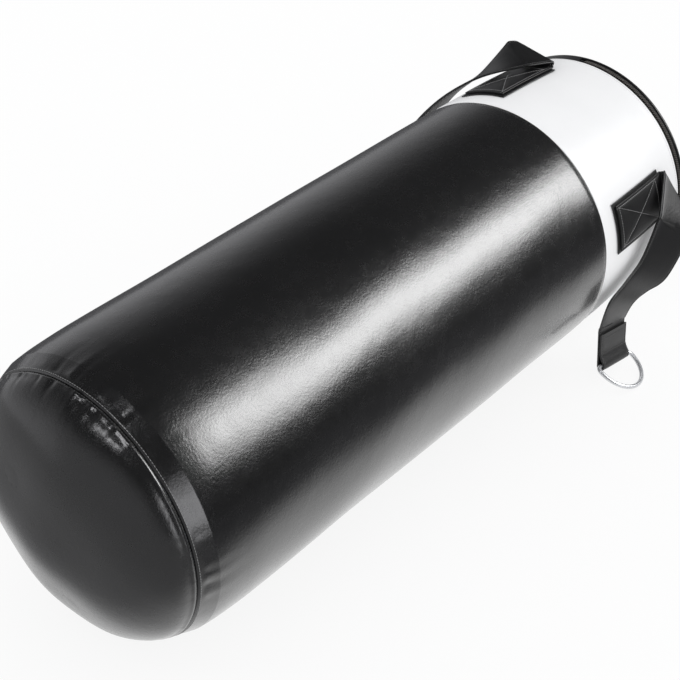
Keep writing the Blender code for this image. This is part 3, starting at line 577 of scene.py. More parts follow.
def cover(name, stations, relief, look, node):
    """A closed shell of vinyl over a range of stations."""
    angle = full_turn(360)[None, :]
    outside = stations[:, None]
    outer = on_bag(outside, angle, relief(outside, angle))
    outer[..., 2] = np.maximum(outer[..., 2], -AXIS_HEIGHT)
    inner = on_bag(np.linspace(stations[-1], stations[0], 16)[:, None], angle, INSIDE)
    made = grid_object(name, np.concatenate([outer, inner]), look, loop_rows=True, loop_columns=True)
    return dress(made, "bag", node)


def spaced(*spans):
    """Stations from a list of (start, end, step)."""
    parts = [np.arange(start, end - step * 0.5, step) for start, end, step in spans]
    return np.concatenate(parts + [[spans[-1][1]]])


panel_stations = spaced((SEAM_GAP, 0.0040, 0.0003), (0.0040, 0.024, 0.0005), (0.024, 0.070, 0.0025),
                        (0.070, 0.600, 0.0060), (0.600, 0.616, 0.0030), (0.616, PANEL_LENGTH - SEAM_GAP, 0.0010))
band_stations = spaced((PANEL_LENGTH + SEAM_GAP, 0.634, 0.0010), (0.634, 0.780, 0.0030), (0.780, BAND_END, 0.0010))
beside_seam = 0.0018
relief = panel_relief(beside_seam, full_turn(720))
sew("bag", grey_thread, [on_bag(beside_seam, full_turn(720), relief + THREAD_LIFT)], closed=True)
cover("long_panel", panel_stations, panel_relief, black_vinyl, "side_panel")
cover("white_band", band_stations, band_relief, white_vinyl, "top_band")


# %% The domed bottom
def dome(name):
    angle = full_turn(480)[None, :]
    share = np.concatenate([np.linspace(0.0, 0.06, 13)[:-1], np.linspace(0.06, 0.25, 18)[:-1],
                            np.linspace(0.25, 1.0, 40)])[:, None]
    near = np.exp(-np.clip(share - 0.05, 0, 1) / 0.07) * ease(share, 0.008, 0.05)
    sink = (ease(share, 0.0, 0.017) - 1.0) * 0.0015
    roll = np.exp(-((share - 0.040) / 0.026) ** 2) * 0.0012
    height = sink + roll + near * gathers(angle, 378) * 0.0020
    bend = np.pi / 2 * share
    y, z = np.cos(bend) * np.cos(np.radians(angle)), np.cos(bend) * np.sin(np.radians(angle))
    soft = np.sin(9.0 * y + 3.0 * z + 1.0) + np.sin(4.0 * y - 8.0 * z) + np.sin(6.5 * z + 2.4)
    height = height + 0.0007 * soft * ease(share, 0.06, 0.3)
    round_share = np.cos(bend) * (share < 1.0)

    def shell(offset):
        station = -(DOME_DEPTH + offset) * np.sin(bend) - SEAM_GAP
        return rim_points(station, angle, (BOTTOM_SEAM_RADIUS + offset) * round_share)

    outer = shell(height)
    inner = shell(np.full_like(height, INSIDE))[::-1]
    made = grid_object(name, np.concatenate([outer, inner]), black_vinyl, loop_rows=True, loop_columns=True)
    row = int(np.argmin(np.abs(share - 0.015)))
    sew("bag", dark_thread, [outer[row] - [THREAD_LIFT, 0.0, 0.0]], closed=True)
    return dress(made, "bag", "bottom_panel")


dome("domed_bottom")

# %% [markdown]
# ## The straps
# Each strap is a flat tube of vinyl, sewn to its patch, folded back over itself and hanging down
# to its ring. The route is the measured model's own: pairs of edge points along the strap. Here
# they are joined by smooth curves, and the edges are rounded like a folded and stitched strap.


# %% The root and the fold of a strap
def unit(x, y, z):
    return Vector((x, y, z)).normalized()


def round_point(station, angle, radius):
    turned = math.radians(angle)
    return Vector((station, radius * math.cos(turned), radius * math.sin(turned)))


def edge_pair(middle, width):
    """The strap's two edge points at a place of its middle line."""
    return np.array([middle - width * STRAP_WIDTH / 2, middle + width * STRAP_WIDTH / 2])


class StrapRoot:
    """Where a strap is sewn on, and the cone on which it folds back."""

    def __init__(self, number, side):
        self.angle, self.side = STRAP_ANGLES[number - 1], side
        self.half = math.radians(FOLD_HALF_ANGLES[number - 1])
        self.first_ruling = math.radians(FOLD_RULINGS[number - 1])
        radius = float(bag_radius(PATCH_END)) + SHEET_HEIGHT
        self.normal = round_point(0.0, self.angle, 1.0)
        self.width = Vector((0.0, -self.normal.z, self.normal.y)) * side
        self.middle = round_point(PATCH_END + CLEARANCE, self.angle, radius)
        self.apex = self.middle + Vector((FOLD_START, 0.0, 0.0)) - self.width * (STRAP_WIDTH / 2 + FOLD_APEX_OUT)
        self.axis = self.width * math.cos(self.half) + self.normal * math.sin(self.half)
        self.inner = self.width * math.sin(self.half) - self.normal * math.cos(self.half)

    def sewn_pair(self, station):
        """Middle of the strap's sheet where it is sewn to the patch: its two edge points."""
        half = math.degrees(STRAP_WIDTH / 2 / (float(bag_radius(station)) + SHEET_HEIGHT)) * self.side
        return on_bag(station, [self.angle - half, self.angle + half], SHEET_HEIGHT)

    def fold_pair(self, turned):
        """The edge points on the straight line at this turn of the conical fold."""
        ruling = self.first_ruling - turned * math.sin(self.half)
        spoke = self.inner * math.cos(turned) + Vector((math.sin(turned), 0.0, 0.0))
        line = self.axis * math.cos(self.half) + spoke * math.sin(self.half)
        near, far = FOLD_APEX_OUT / math.sin(ruling), (FOLD_APEX_OUT + STRAP_WIDTH) / math.sin(ruling)
        return np.array([self.apex + line * near, self.apex + line * far])

    def fold_end(self):
        last = self.first_ruling - math.pi * math.sin(self.half)
        line = self.axis * math.cos(self.half) - self.inner * math.sin(self.half)
        outward = Vector((1.0, 0.0, 0.0))
        travel = line * math.cos(last) - outward * math.sin(last)
        widthwise = line * math.sin(last) + outward * math.cos(last)
        reach = (FOLD_APEX_OUT + STRAP_WIDTH) / math.tan(last) + 0.004
        return edge_pair(self.apex + travel * reach + widthwise * (FOLD_APEX_OUT + STRAP_WIDTH / 2), widthwise)


# %% The ring end of a strap
class StrapEnd:
    """The loop round the ring's bar, and the hem that is folded back over the strap."""

    def __init__(self, bar, travel, width, hem_side):
        self.bar, self.travel = Vector(bar), travel
        self.width = (width - travel * width.dot(travel)).normalized()
        self.hem = self.width.cross(travel) * hem_side

    def main(self, back):
        return self.bar - self.hem * LOOP_RADIUS - self.travel * back

    def pair(self, middle):
        return edge_pair(middle, self.width)

    def loop(self):
        rows = []
        for k in range(1, 13):
            turned = math.pi * k / 12
            rows.append(self.bar + (self.travel * math.sin(turned) - self.hem * math.cos(turned)) * LOOP_RADIUS)
        closed = STRAP + CLEARANCE + 0.0001
        for back in (HEM_CLOSES_IN / 4, HEM_CLOSES_IN / 2, HEM_CLOSES_IN, HEM_LENGTH * 0.7, HEM_LENGTH):
            share = float(ease(back, 0.0, HEM_CLOSES_IN))
            rows.append(self.main(back) + self.hem * (2 * LOOP_RADIUS * (1 - share) + closed * share))
        return [self.pair(row) for row in rows]


def between_rows(rows, steps):
    """Catmull-Rom curves through rows of points."""
    rows = [rows[0]] + list(rows) + [rows[-1]]
    made = []
    for a, b, c, d in zip(rows, rows[1:], rows[2:], rows[3:]):
        for t in (k / steps for k in range(steps)):
            bend = 2 * b + (c - a) * t + (2 * a - 5 * b + 4 * c - d) * t * t + (3 * b - a - 3 * c + d) * t ** 3
            made.append(0.5 * bend)
    return made + [rows[-1]]


# %% The four routes
def flat_start(root):
    pair = edge_pair(root.middle, root.width)
    pair[:, 0] += 0.025
    pair[:, 2] = np.maximum(pair[:, 2] - 0.006, STRAP / 2 - AXIS_HEIGHT)
    return pair


def off_skin(back, angle, height):
    station = PATCH_END - back
    return round_point(station, angle, float(bag_radius(station)) + height)


def off_side(back, past, height, side):
    return Vector((PATCH_END - back, side * (BAG_RADIUS + past), height - AXIS_HEIGHT))


def resting_bow(end):
    """The direction of a ring's bow where its lowest point touches the floor."""
    drop = AXIS_HEIGHT - RING_WIRE / 2 + end.bar.z
    lean = (end.width.z * RING_WIDTH / 2) ** 2
    reach = (RING_DEPTH - RING_CORNER) ** 2 - RING_CORNER ** 2
    slope = (math.sqrt((drop * RING_CORNER) ** 2 + reach * (drop * drop - lean)) - drop * RING_CORNER) / reach
    level = end.width.cross(Vector((0.0, 0.0, 1.0))).normalized()
    down = end.width.cross(level)
    down = down if down.z < 0.0 else -down
    share = slope / abs(down.z)
    return level * math.sqrt(1.0 - share * share) + down * share


def strap(root, places, widths, bar, travel, across, hem_side=-1, bow=None):
    """A strap's root, the places and width directions of its fall, its ring end and its ring's bow."""
    end = StrapEnd(bar, unit(*travel), unit(*across), hem_side)
    frames = [(place, unit(*width)) for place, width in zip(places, widths)]
    return root, frames, end, unit(*bow) if bow else resting_bow(end)


FLAT_RING_SLOPE = (LOOP_RADIUS + STRAP / 2 - RING_WIRE / 2) / RING_DEPTH
under = StrapRoot(3, 1)
lies = [Vector((PATCH_END + past, under.middle.y - aside, STRAP / 2 - AXIS_HEIGHT + hump)) for past, aside, hump in (
    (0.054, 0.007, 0.0001), (0.104, 0.012, 0.0010), (0.154, 0.015, 0.0100), (0.204, 0.017, 0.0010),
    (0.270, 0.019, LOOP_RADIUS))]
STRAPS = [
    strap(StrapRoot(1, -1),
          [off_skin(0.040, 55.0, 0.0110), off_skin(0.062, 40.0, 0.0091), off_skin(0.076, 22.0, 0.0102)],
          [(0.75, 0.54, -0.376), (0.90, 0.28, -0.334), (0.97, 0.10, -0.23)],
          bar=off_skin(0.082, -8.3, 0.0112), travel=(-0.02, 0.0, -1.0), across=(1.0, 0.03, 0.0), bow=(0.0, 0.05, -1.0)),
    strap(StrapRoot(2, 1),
          [off_side(0.046, 0.019, 0.123, -1), off_side(0.073, 0.013, 0.107, -1), off_side(0.101, 0.012, 0.099, -1)],
          [(0.64, -0.32, -0.70), (0.78, -0.12, -0.61), (0.90, -0.09, -0.43)],
          bar=off_side(0.103, 0.0127, 0.020, -1), travel=(-0.169, -0.185, -0.968), across=(0.986, -0.032, -0.164)),
    strap(under, lies[:4], [(0.0, 1.0, 0.0), (0.03, 1.0, 0.0), (0.06, 1.0, 0.0), (0.09, 1.0, 0.0)],
          bar=lies[4], travel=(1.0, -0.1, 0.0), across=(0.1, 1.0, 0.0), hem_side=1, bow=(1.0, -0.1, -FLAT_RING_SLOPE)),
    strap(StrapRoot(4, -1),
          [off_side(0.039, 0.028, 0.035, 1), off_side(0.062, 0.043, 0.009, 1), off_side(0.091, 0.064, 0.0013, 1)],
          [(0.80, 0.36, -0.48), (0.72, 0.69, -0.09), (0.60, 0.80, 0.0)],
          bar=off_side(0.178, 0.126, STRAP / 2 + LOOP_RADIUS, 1), travel=(-0.82, 0.57, 0.0), across=(0.57, 0.82, 0.0),
          bow=(-0.82, 0.57, -FLAT_RING_SLOPE)),
]


def strap_route(root, frames, end):
    """Edge pairs of the sewn half and of the free half."""
    sewn_length = PATCH_END - PATCH_START - SEWN_INSET
    sewn = [root.sewn_pair(PATCH_START + SEWN_INSET + sewn_length * i / 6) for i in range(7)]
    if root.half > 0.0:
        fold = [root.fold_pair(math.pi * i / 20) for i in range(21)]
        sewn += fold[:11]
        first = fold[10:] + [root.fold_end()]
    else:
        sewn.append(root.sewn_pair(PATCH_END + CLEARANCE))
        first = [sewn[-1], flat_start(root)]
    falls = [edge_pair(middle, width) for middle, width in frames]
    tail = between_rows([first[-1]] + falls + [end.pair(end.main(HEM_LENGTH + 0.004))], 6)
    straight = [end.pair(end.main(back)) for back in (HEM_CLOSES_IN, HEM_CLOSES_IN / 2, 0.0)]
    return sewn, first[:-1] + tail + straight + end.loop()


print(len(STRAPS), "strap routes")


# %% Stitch lines on a flat piece
STITCH_LIFT = 0.00012
STITCH_STEP = 0.0012


def line_distance(along, across, lines):
    """Distance from each point of a flat piece to the nearest stitch line."""
    nearest = np.full(np.broadcast(along, across).shape, 1.0)
    for line in lines:
        for (u, v), (further_u, further_v) in zip(line, line[1:]):
            du, dv = further_u - u, further_v - v
            share = np.clip(((along - u) * du + (across - v) * dv) / (du * du + dv * dv), 0, 1)
            nearest = np.minimum(nearest, np.hypot(along - u - share * du, across - v - share * dv))
    return nearest


def lay(surface, line, side):
    """Points of a flat line laid on one side of a piece."""
    grid = surface["top"] if side > 0 else surface["bottom"]
    points = []
    for (u, v), (further_u, further_v) in zip(line, line[1:]):
        count = max(2, int(math.hypot(further_u - u, further_v - v) / STITCH_STEP))
        for share in (k / count for k in range(count + 1)):
            row = np.interp(u + (further_u - u) * share, surface["length"], np.arange(len(grid)))
            column = np.interp(v + (further_v - v) * share, surface["across"], np.arange(grid.shape[1]))
            i, j = min(int(row), len(grid) - 2), min(int(column), grid.shape[1] - 2)
            a, b = row - i, column - j
            near, far = (line[j] * (1 - b) + line[j + 1] * b for line in (grid[i], grid[i + 1]))
            points.append(near * (1 - a) + far * a + surface["normal"][i, j] * side * STITCH_LIFT)
    return np.array(points)


# %% A strap as a closed sheet with rounded edges
EDGE_STITCH = 0.0030
EDGE = STRAP / 2


def rounded(gap, edge):
    """Rises from 0 at an edge to 1 further in, as a quarter of a circle."""
    return np.sqrt(np.clip(1 - (1 - np.clip(gap / edge, 0, 1)) ** 2, 0, 1))


def steps_across(width, near_edge, start, count):
    """Steps over a width, closer together near its two edges."""
    return np.concatenate([near_edge, np.linspace(start, width - start, count), width - near_edge[::-1]])


def path_steps(rows):
    """Lengths of the steps along the middle of rows of points."""
    return np.linalg.norm(np.diff(rows.mean(axis=1), axis=0), axis=1)


def strap_sheet(name, pairs, lines, steps, spacing, sewn_root=None):
    """The sheet through edge pairs. It returns the object and its surface, for the stitches."""
    rows = np.array(between_rows(pairs, steps))
    rows = rows[np.concatenate([[True], path_steps(rows) > 1e-5])]
    length = np.concatenate([[0.0], np.cumsum(path_steps(rows))])
    near_edge = np.concatenate([np.array([0.0, 0.08, 0.3, 0.65, 1.0]) * EDGE, np.arange(0.0017, 0.0060, 0.0006)])
    across = steps_across(STRAP_WIDTH, near_edge, 0.0065, int((STRAP_WIDTH - 0.013) / spacing) + 1)
    share = (across / STRAP_WIDTH)[None, :, None]
    sheet = rows[:, :1, :] * (1 - share) + rows[:, 1:, :] * share
    if sewn_root:
        sheet = bend_to_bag(sheet, sewn_root)
    normal = sheet_normals(sheet)
    edge = rounded(np.minimum(across, STRAP_WIDTH - across), EDGE)[None, :]
    ends = [[(0.0, v), (length[-1], v)] for v in (EDGE_STITCH, STRAP_WIDTH - EDGE_STITCH)]
    apart = line_distance(length[:, None], across[None, :], lines + ends)
    groove = np.exp(-(apart / 0.0008) ** 2) * 0.00028
    puff = (1 - np.exp(-(apart / 0.0035) ** 2)) * 0.00022 * edge ** 2
    faces_out = not sewn_root or normal[0, len(across) // 2] @ np.array(sewn_root.normal) > 0
    faces_in = not sewn_root or not faces_out
    top = sheet + normal * (EDGE * edge - groove + puff * faces_out)[..., None]
    bottom = sheet - normal * (EDGE * edge - groove + puff * faces_in)[..., None]
    grid = np.concatenate([top, bottom[:, -2:0:-1]], axis=1)
    grid[..., 2] = np.maximum(grid[..., 2], -AXIS_HEIGHT)
    made = grid_object(name, np.swapaxes(grid, 0, 1), strap_vinyl, loop_rows=True, caps=True)
    return made, {"top": top, "bottom": bottom, "normal": normal, "across": across, "length": length, "ends": ends}


def sheet_normals(sheet):
    normal = np.cross(np.gradient(sheet, axis=0), np.gradient(sheet, axis=1))
    return normal / np.maximum(np.linalg.norm(normal, axis=-1, keepdims=True), 1e-12)


def bend_to_bag(sheet, root):
    """Lays the sewn rows on the round of the bag instead of on straight lines."""
    for i, row in enumerate(sheet):
        station = row[0, 0]
        if station > PATCH_END + 0.0002 or abs(row[0, 0] - row[-1, 0]) > 1e-6:
            continue
        share = np.linalg.norm(row - row[0], axis=1) / max(np.linalg.norm(row[-1] - row[0]), 1e-9)
        turned = np.degrees(root.side * ((share - 0.5) * STRAP_WIDTH) / (float(bag_radius(station)) + SHEET_HEIGHT))
        sheet[i] = on_bag(station, root.angle + turned, SHEET_HEIGHT)
    return sheet


# %% The straps, with a box and a cross sewn on their patches
BOX_START, BOX_END, BOX_SIDE = 0.0042, 0.0845, 0.0036
FAR_SIDE = STRAP_WIDTH - BOX_SIDE
BOX = [[(BOX_START, BOX_SIDE), (BOX_END, BOX_SIDE), (BOX_END, FAR_SIDE), (BOX_START, FAR_SIDE), (BOX_START, BOX_SIDE)],
       [(BOX_START, BOX_SIDE), (BOX_END, FAR_SIDE)], [(BOX_START, FAR_SIDE), (BOX_END, BOX_SIDE)]]


def sew_on(body, thread_look, surface, lines, side):
    """Keeps flat lines of a piece, laid on one of its sides."""
    sew(body, thread_look, [lay(surface, line, side) for line in lines])


for number, (root, frames, end, away) in enumerate(STRAPS, 1):
    body = f"strap_{number}"
    sewn_pairs, free_pairs = strap_route(root, frames, end)
    sewn, surface = strap_sheet(body + "_sewn_part", sewn_pairs, BOX, 8, 0.0013, root)
    outside = 1 if surface["normal"][0, 8] @ np.array(root.normal) > 0 else -1
    sew_on("bag", grey_thread, surface, BOX, outside)
    sew_on("bag", dark_thread, surface, surface["ends"], outside)
    dress(sewn, "bag", body + "_sewn_end")

    total = sum(np.linalg.norm(b.mean(axis=0) - a.mean(axis=0)) for a, b in zip(free_pairs, free_pairs[1:]))
    hem_rows = [[(row, EDGE_STITCH), (row, STRAP_WIDTH - EDGE_STITCH)]
                for row in (total - 0.0035, total - HEM_LENGTH + 0.016)]
    free, surface = strap_sheet(body + "_free_part", free_pairs, hem_rows, 2, 0.0020)
    top, bottom, bar = surface["top"], surface["bottom"], np.array(end.bar + end.travel * LOOP_RADIUS)
    near_bar = int(np.argmin(np.linalg.norm(top[:, 12] - bar, axis=1)))
    outer_side = 1 if (top[near_bar] - bottom[near_bar])[12] @ np.array(end.travel) > 0 else -1
    before_hem = surface["length"][near_bar] - HEM_LENGTH - 0.004
    sew_on(body, dark_thread, surface, surface["ends"] + hem_rows, outer_side)
    sew_on(body, dark_thread, surface, [[line[0], (before_hem, line[0][1])] for line in surface["ends"]], -outer_side)
    dress(free, body, body)


# %% [markdown]
# ## The patches
# Each strap is sewn to a patch of doubled vinyl. Its edges are folded under, so it has a raised
# rim, and it follows the round of the band.

# %% Patches
PATCH_EDGE = PATCH / 2


def patch(number, angle):
    inset = np.array([0.0, 0.10, 0.35, 0.7, 1.0, 1.6]) * PATCH_EDGE
    length = PATCH_END - PATCH_START
    across = steps_across(PATCH_WIDTH, inset, 0.0018, 25)[None, :]
    along = steps_across(length, inset, 0.0018, 35)[:, None]
    gap = np.minimum(np.minimum(across, PATCH_WIDTH - across), np.minimum(along, length - along))
    profile = rounded(gap, PATCH_EDGE)
    under = 1 - ease(gap, 0.0030, 0.0050)
    station = PATCH_START + along + 0 * across
    turned = angle + np.degrees((across - PATCH_WIDTH / 2) / (bag_radius(station) + PATCH_OFFSET))
    middle = PATCH_OFFSET + PATCH_EDGE
    top = on_bag(station, turned, middle + PATCH_EDGE * profile * (1.0 - 0.25 * (1 - under)))
    bottom = on_bag(station, turned, middle - PATCH_EDGE * profile)
    upper = quads(np.arange(station.size).reshape(station.shape))
    faces = upper.tolist() + (upper + station.size)[:, ::-1].tolist()
    points = np.concatenate([top.reshape(-1, 3), bottom.reshape(-1, 3)])
    made = finish_mesh(f"strap_{number}_patch_cover", points, faces, strap_vinyl)
    dress(made, "bag", f"strap_{number}_patch")


for number, angle in enumerate(STRAP_ANGLES, 1):
    patch(number, angle)


# %% [markdown]
# ## The D-rings
# A ring is one bent steel wire, welded shut on its straight side. The weld is a slight swelling
# inside the strap's loop.

# %% Rings
def arc(middle, reach, rise, start, end, count):
    """Points of an arc or half ellipse that stands on the height of the ring's corners."""
    return [(middle + reach * math.cos(t), RING_CORNER + rise * math.sin(t))
            for t in np.radians(np.linspace(start, end, count))]


def ring_outline():
    half = RING_WIDTH / 2
    straight = [(x, 0.0) for x in np.linspace(RING_CORNER - half, half - RING_CORNER, 19)]
    first_corner = arc(half - RING_CORNER, RING_CORNER, RING_CORNER, -90, 0, 10)
    bow = arc(0.0, half, RING_DEPTH - RING_CORNER, 0, 180, 49)
    last_corner = arc(RING_CORNER - half, RING_CORNER, RING_CORNER, 180, 270, 10)
    return np.array(straight + first_corner[1:] + bow[1:] + last_corner[1:-1])


def ring(number, end, away):
    side = np.array(end.width)
    up = np.array((away - end.width * away.dot(end.width)).normalized())
    across = np.cross(side, up)
    outline = ring_outline()
    path = np.array(end.bar) + outline[:, :1] * side + outline[:, 1:] * up
    travel = np.roll(path, -1, axis=0) - np.roll(path, 1, axis=0)
    travel /= np.linalg.norm(travel, axis=1, keepdims=True)
    inward = np.cross(travel, across)[:, None, :]
    turned = np.linspace(0, 2 * math.pi, 25)[None, :-1, None]
    weld = np.exp(-((outline[:, 0] / 0.0022) ** 2)) * (outline[:, 1] < 0.001) * 0.00018
    radius = (RING_WIRE / 2 + weld)[:, None, None]
    tube = path[:, None, :] + radius * (inward * np.cos(turned) + across * np.sin(turned))
    made = grid_object(f"d_ring_{number}_wire", tube, chrome, loop_rows=True, loop_columns=True, smooth_angle=60.0)
    dress(made, f"ring_{number}", f"d_ring_{number}")


for number, (root, frames, end, away) in enumerate(STRAPS, 1):
    ring(number, end, away)

# %% [markdown]
# ## The zip
# A coil zip closes the rim: two woven tapes, each with a nylon coil sewn to its edge. One tape
# is sewn under the white band and one under the lid. The coils are rods that mesh like fingers.

# %% Zip tapes
ZIP_HALF_GAP = HINGE_HALF_ANGLE + 3.0
ZIP_FIRST = HINGE_ANGLE + ZIP_HALF_GAP
ZIP_SWEEP = 360.0 - 2 * ZIP_HALF_GAP
ZIP_MIDDLE = BAND_END + ZIP_WIDTH / 2
TAPE = 0.0009
TAPE_TOP = TOP_RADIUS - SKIN - CLEARANCE
TAPE_GAP = 0.0024
TAPE_STITCH = 0.0042


def tape(name, start, end, first, sweep, body):
    """A woven tape round the rim, a little wavy."""
    angle = np.linspace(first, first + sweep, 300)[None, :]
    share = np.linspace(0.0, 1.0, 9)
    station = np.concatenate([start + (end - start) * share, end - (end - start) * share])[:, None]
    radius = np.repeat([TAPE_TOP, TAPE_TOP - TAPE], 9)[:, None]
    wave = np.sin(np.radians(angle) * 37) * 0.00006 * np.concatenate([share, share[::-1]])[:, None]
    grid = rim_points(station, angle, radius - np.abs(wave))
    cloth = np.stack(np.broadcast_arrays(np.radians(angle) * TAPE_TOP, station), axis=-1)
    dress(grid_object(name + "_weave", grid, zip_tape, loop_rows=True, caps=True, uv=cloth), body, name)


tape("zip_tape_band_side", BAND_END - 0.008, ZIP_MIDDLE - TAPE_GAP, 78.75, 330.0, "bag")
tape("zip_tape_lid_side", ZIP_MIDDLE + TAPE_GAP, TOP_STATION - 0.0024, 86.25, 315.0, "lid")
along_zip = np.linspace(ZIP_FIRST, ZIP_FIRST + ZIP_SWEEP, 400)
for body, past in (("bag", -TAPE_STITCH), ("lid", TAPE_STITCH)):
    sew(body, black_thread, [rim_points(ZIP_MIDDLE + past, along_zip, TAPE_TOP + THREAD_LIFT / 2)])

# %% [markdown]
# ## Stitches and coils with Geometry Nodes
# A stitch is a short thread that lies along its line, and a coil's rod is a longer one that lies
# across it. So one tree makes both: it walks along a line in equal steps and sets a small
# ellipsoid on each step, turned to a direction that the line carries as an attribute.


# %% The sewing tree
def sewing_tree():
    tree = bpy.data.node_groups.new("sewing", "GeometryNodeTree")
    face = tree.interface
    face.new_socket("Geometry", in_out="OUTPUT", socket_type="NodeSocketGeometry")
    face.new_socket("Geometry", in_out="INPUT", socket_type="NodeSocketGeometry")
    for name in ("Pitch", "Length", "Thickness"):
        face.new_socket(name, in_out="INPUT", socket_type="NodeSocketFloat")
    face.new_socket("Thread", in_out="INPUT", socket_type="NodeSocketMaterial")

    sewing = Recipe("sewing", tree)
    given = sewing.node("NodeGroupInput")
    line = sewing.node("GeometryNodeMeshToCurve", None, {"Mesh": given["Geometry"]})
    steps = sewing.node("GeometryNodeResampleCurve", {"mode": "LENGTH"}, {"Curve": line[0], "Length": given["Pitch"]})
    bead = sewing.node("GeometryNodeMeshUVSphere", None, {"Segments": 6, "Rings": 5, "Radius": 0.5})
    lie = sewing.node("GeometryNodeInputNamedAttribute", {"data_type": "FLOAT_VECTOR"}, {"Name": "lie"})
    turn = sewing.node("FunctionNodeAlignRotationToVector", {"axis": "Z"}, {"Vector": lie["Attribute"]})
    thick = given["Thickness"]
    size = sewing.node("ShaderNodeCombineXYZ", None, {0: thick, 1: thick, 2: given["Length"]})
    placed = sewing.node("GeometryNodeInstanceOnPoints", None, {
        "Points": steps[0], "Instance": bead["Mesh"], "Rotation": turn[0], "Scale": size[0]})
    real = sewing.node("GeometryNodeRealizeInstances", None, {0: placed[0]})
    dyed = sewing.node("GeometryNodeSetMaterial", None, {"Geometry": real[0], "Material": given["Thread"]})
    sewing.node("NodeGroupOutput", None, {0: dyed[0]})
    return tree


SEWING = sewing_tree()


# %% From lines to a plain mesh
def sewn_mesh(name, look, lines, pitch, length, thickness, leans=None):
    """Runs the sewing tree on (points, closed) lines of axis space."""
    points, edges, leaning = [], [], []
    for k, (line, closed) in enumerate(lines):
        start = len(points)
        points += to_world(line).tolist()
        ahead = np.roll(line, -1, axis=0) - np.roll(line, 1, axis=0)
        if not closed:
            ahead[0], ahead[-1] = line[1] - line[0], line[-1] - line[-2]
        leaning += (ahead if leans is None else leans[k]).tolist()
        edges += [(start + i, start + i + 1) for i in range(len(line) - 1)]
        if closed:
            edges.append((start + len(line) - 1, start))
    mesh = bpy.data.meshes.new(name + "_line")
    mesh.from_pydata(points, edges, [])
    layer = mesh.attributes.new("lie", "FLOAT_VECTOR", "POINT")
    layer.data.foreach_set("vector", np.array(leaning, np.float32).ravel())
    carrier = put(name + "_line", mesh)
    nodes = carrier.modifiers.new("sewing", "NODES")
    nodes.node_group = SEWING
    keys = {item.name: item.identifier for item in SEWING.interface.items_tree if item.in_out == "INPUT"}
    for key, value in (("Pitch", pitch), ("Length", length), ("Thickness", thickness), ("Thread", look)):
        nodes[keys[key]] = value
    graph = bpy.context.evaluated_depsgraph_get()
    made_mesh = bpy.data.meshes.new_from_object(carrier.evaluated_get(graph))
    bpy.data.objects.remove(carrier)
    made_mesh.name = name
    places = np.empty(len(made_mesh.vertices) * 3)
    made_mesh.vertices.foreach_get("co", places)
    places[2::3] = np.maximum(places[2::3], 0.00005)
    made_mesh.vertices.foreach_set("co", places)
    made_mesh.shade_smooth()
    return put(name, made_mesh)


# %% The two coils
COIL_PITCH, ROD_LENGTH, ROD_THICKNESS = 0.0024, 0.0042, 0.00125
coil_radius = TOP_RADIUS - SKIN + 0.0009
for body, past, node in (("bag", -1.0, "zip_teeth_band_side"), ("lid", 1.0, "zip_teeth_lid_side")):
    shift = math.degrees(COIL_PITCH / 2 / coil_radius) * (body == "lid")
    angle = np.linspace(ZIP_FIRST + shift + 0.4, ZIP_FIRST + ZIP_SWEEP + shift - 0.8, 600)
    line = rim_points(ZIP_MIDDLE + past * 0.00105, angle, coil_radius)
    lean = np.array([1.0, 0.0, 0.0]) + np.gradient(line, axis=0) / 0.0013 * 0.28
    name = node.replace("teeth", "coil")
    coil = sewn_mesh(name, zip_nylon, [(line, False)], COIL_PITCH, ROD_LENGTH, ROD_THICKNESS, [lean])
    dress(coil, body, node)

# %% [markdown]
# ## The lid and its hinge
# The lid is a round of black vinyl, crowned over the filling, with a turned rim that covers the
# zip's upper tape. The short stretch without a zip is sewn down and lets the lid fold open.


# %% Lid and hinge strip
HINGE_LINE = TOP_RADIUS * math.cos(math.radians(HINGE_HALF_ANGLE))
LID_ROLL = 0.0022
LID_STITCH = 0.0052
TOP_STEPS = np.linspace(0, 1, 30)


def crown(radius):
    return TOP_STATION + LID_CROWN * (1 - (radius / TOP_RADIUS) ** 2)


def rim_section(reach, inner, skirt, wave):
    """Stations and radii from an inner radius over the rounded rim, down the skirt and back inside."""
    shoulder = reach - LID_ROLL
    top = inner + (shoulder - inner) * TOP_STEPS
    dip = -0.0005 * np.exp(-((top - reach + LID_STITCH) / 0.0011) ** 2)
    bend = np.radians(np.linspace(0, 90, 7))[1:]
    stations = [crown(top) + dip + wave(top), crown(shoulder) - 0.0010 + 0.0010 * np.cos(bend),
                np.linspace(crown(shoulder) - 0.0016, skirt, 8), np.linspace(skirt, crown(shoulder) - 0.0030, 6),
                crown(top[::-1]) - SKIN + wave(top[::-1]) * 0.5]
    radii = [top, shoulder + LID_ROLL * np.sin(bend), np.full(8, reach), np.full(6, reach - SKIN),
             np.minimum(top[::-1], reach - SKIN)]
    return np.concatenate(stations), np.concatenate(radii)


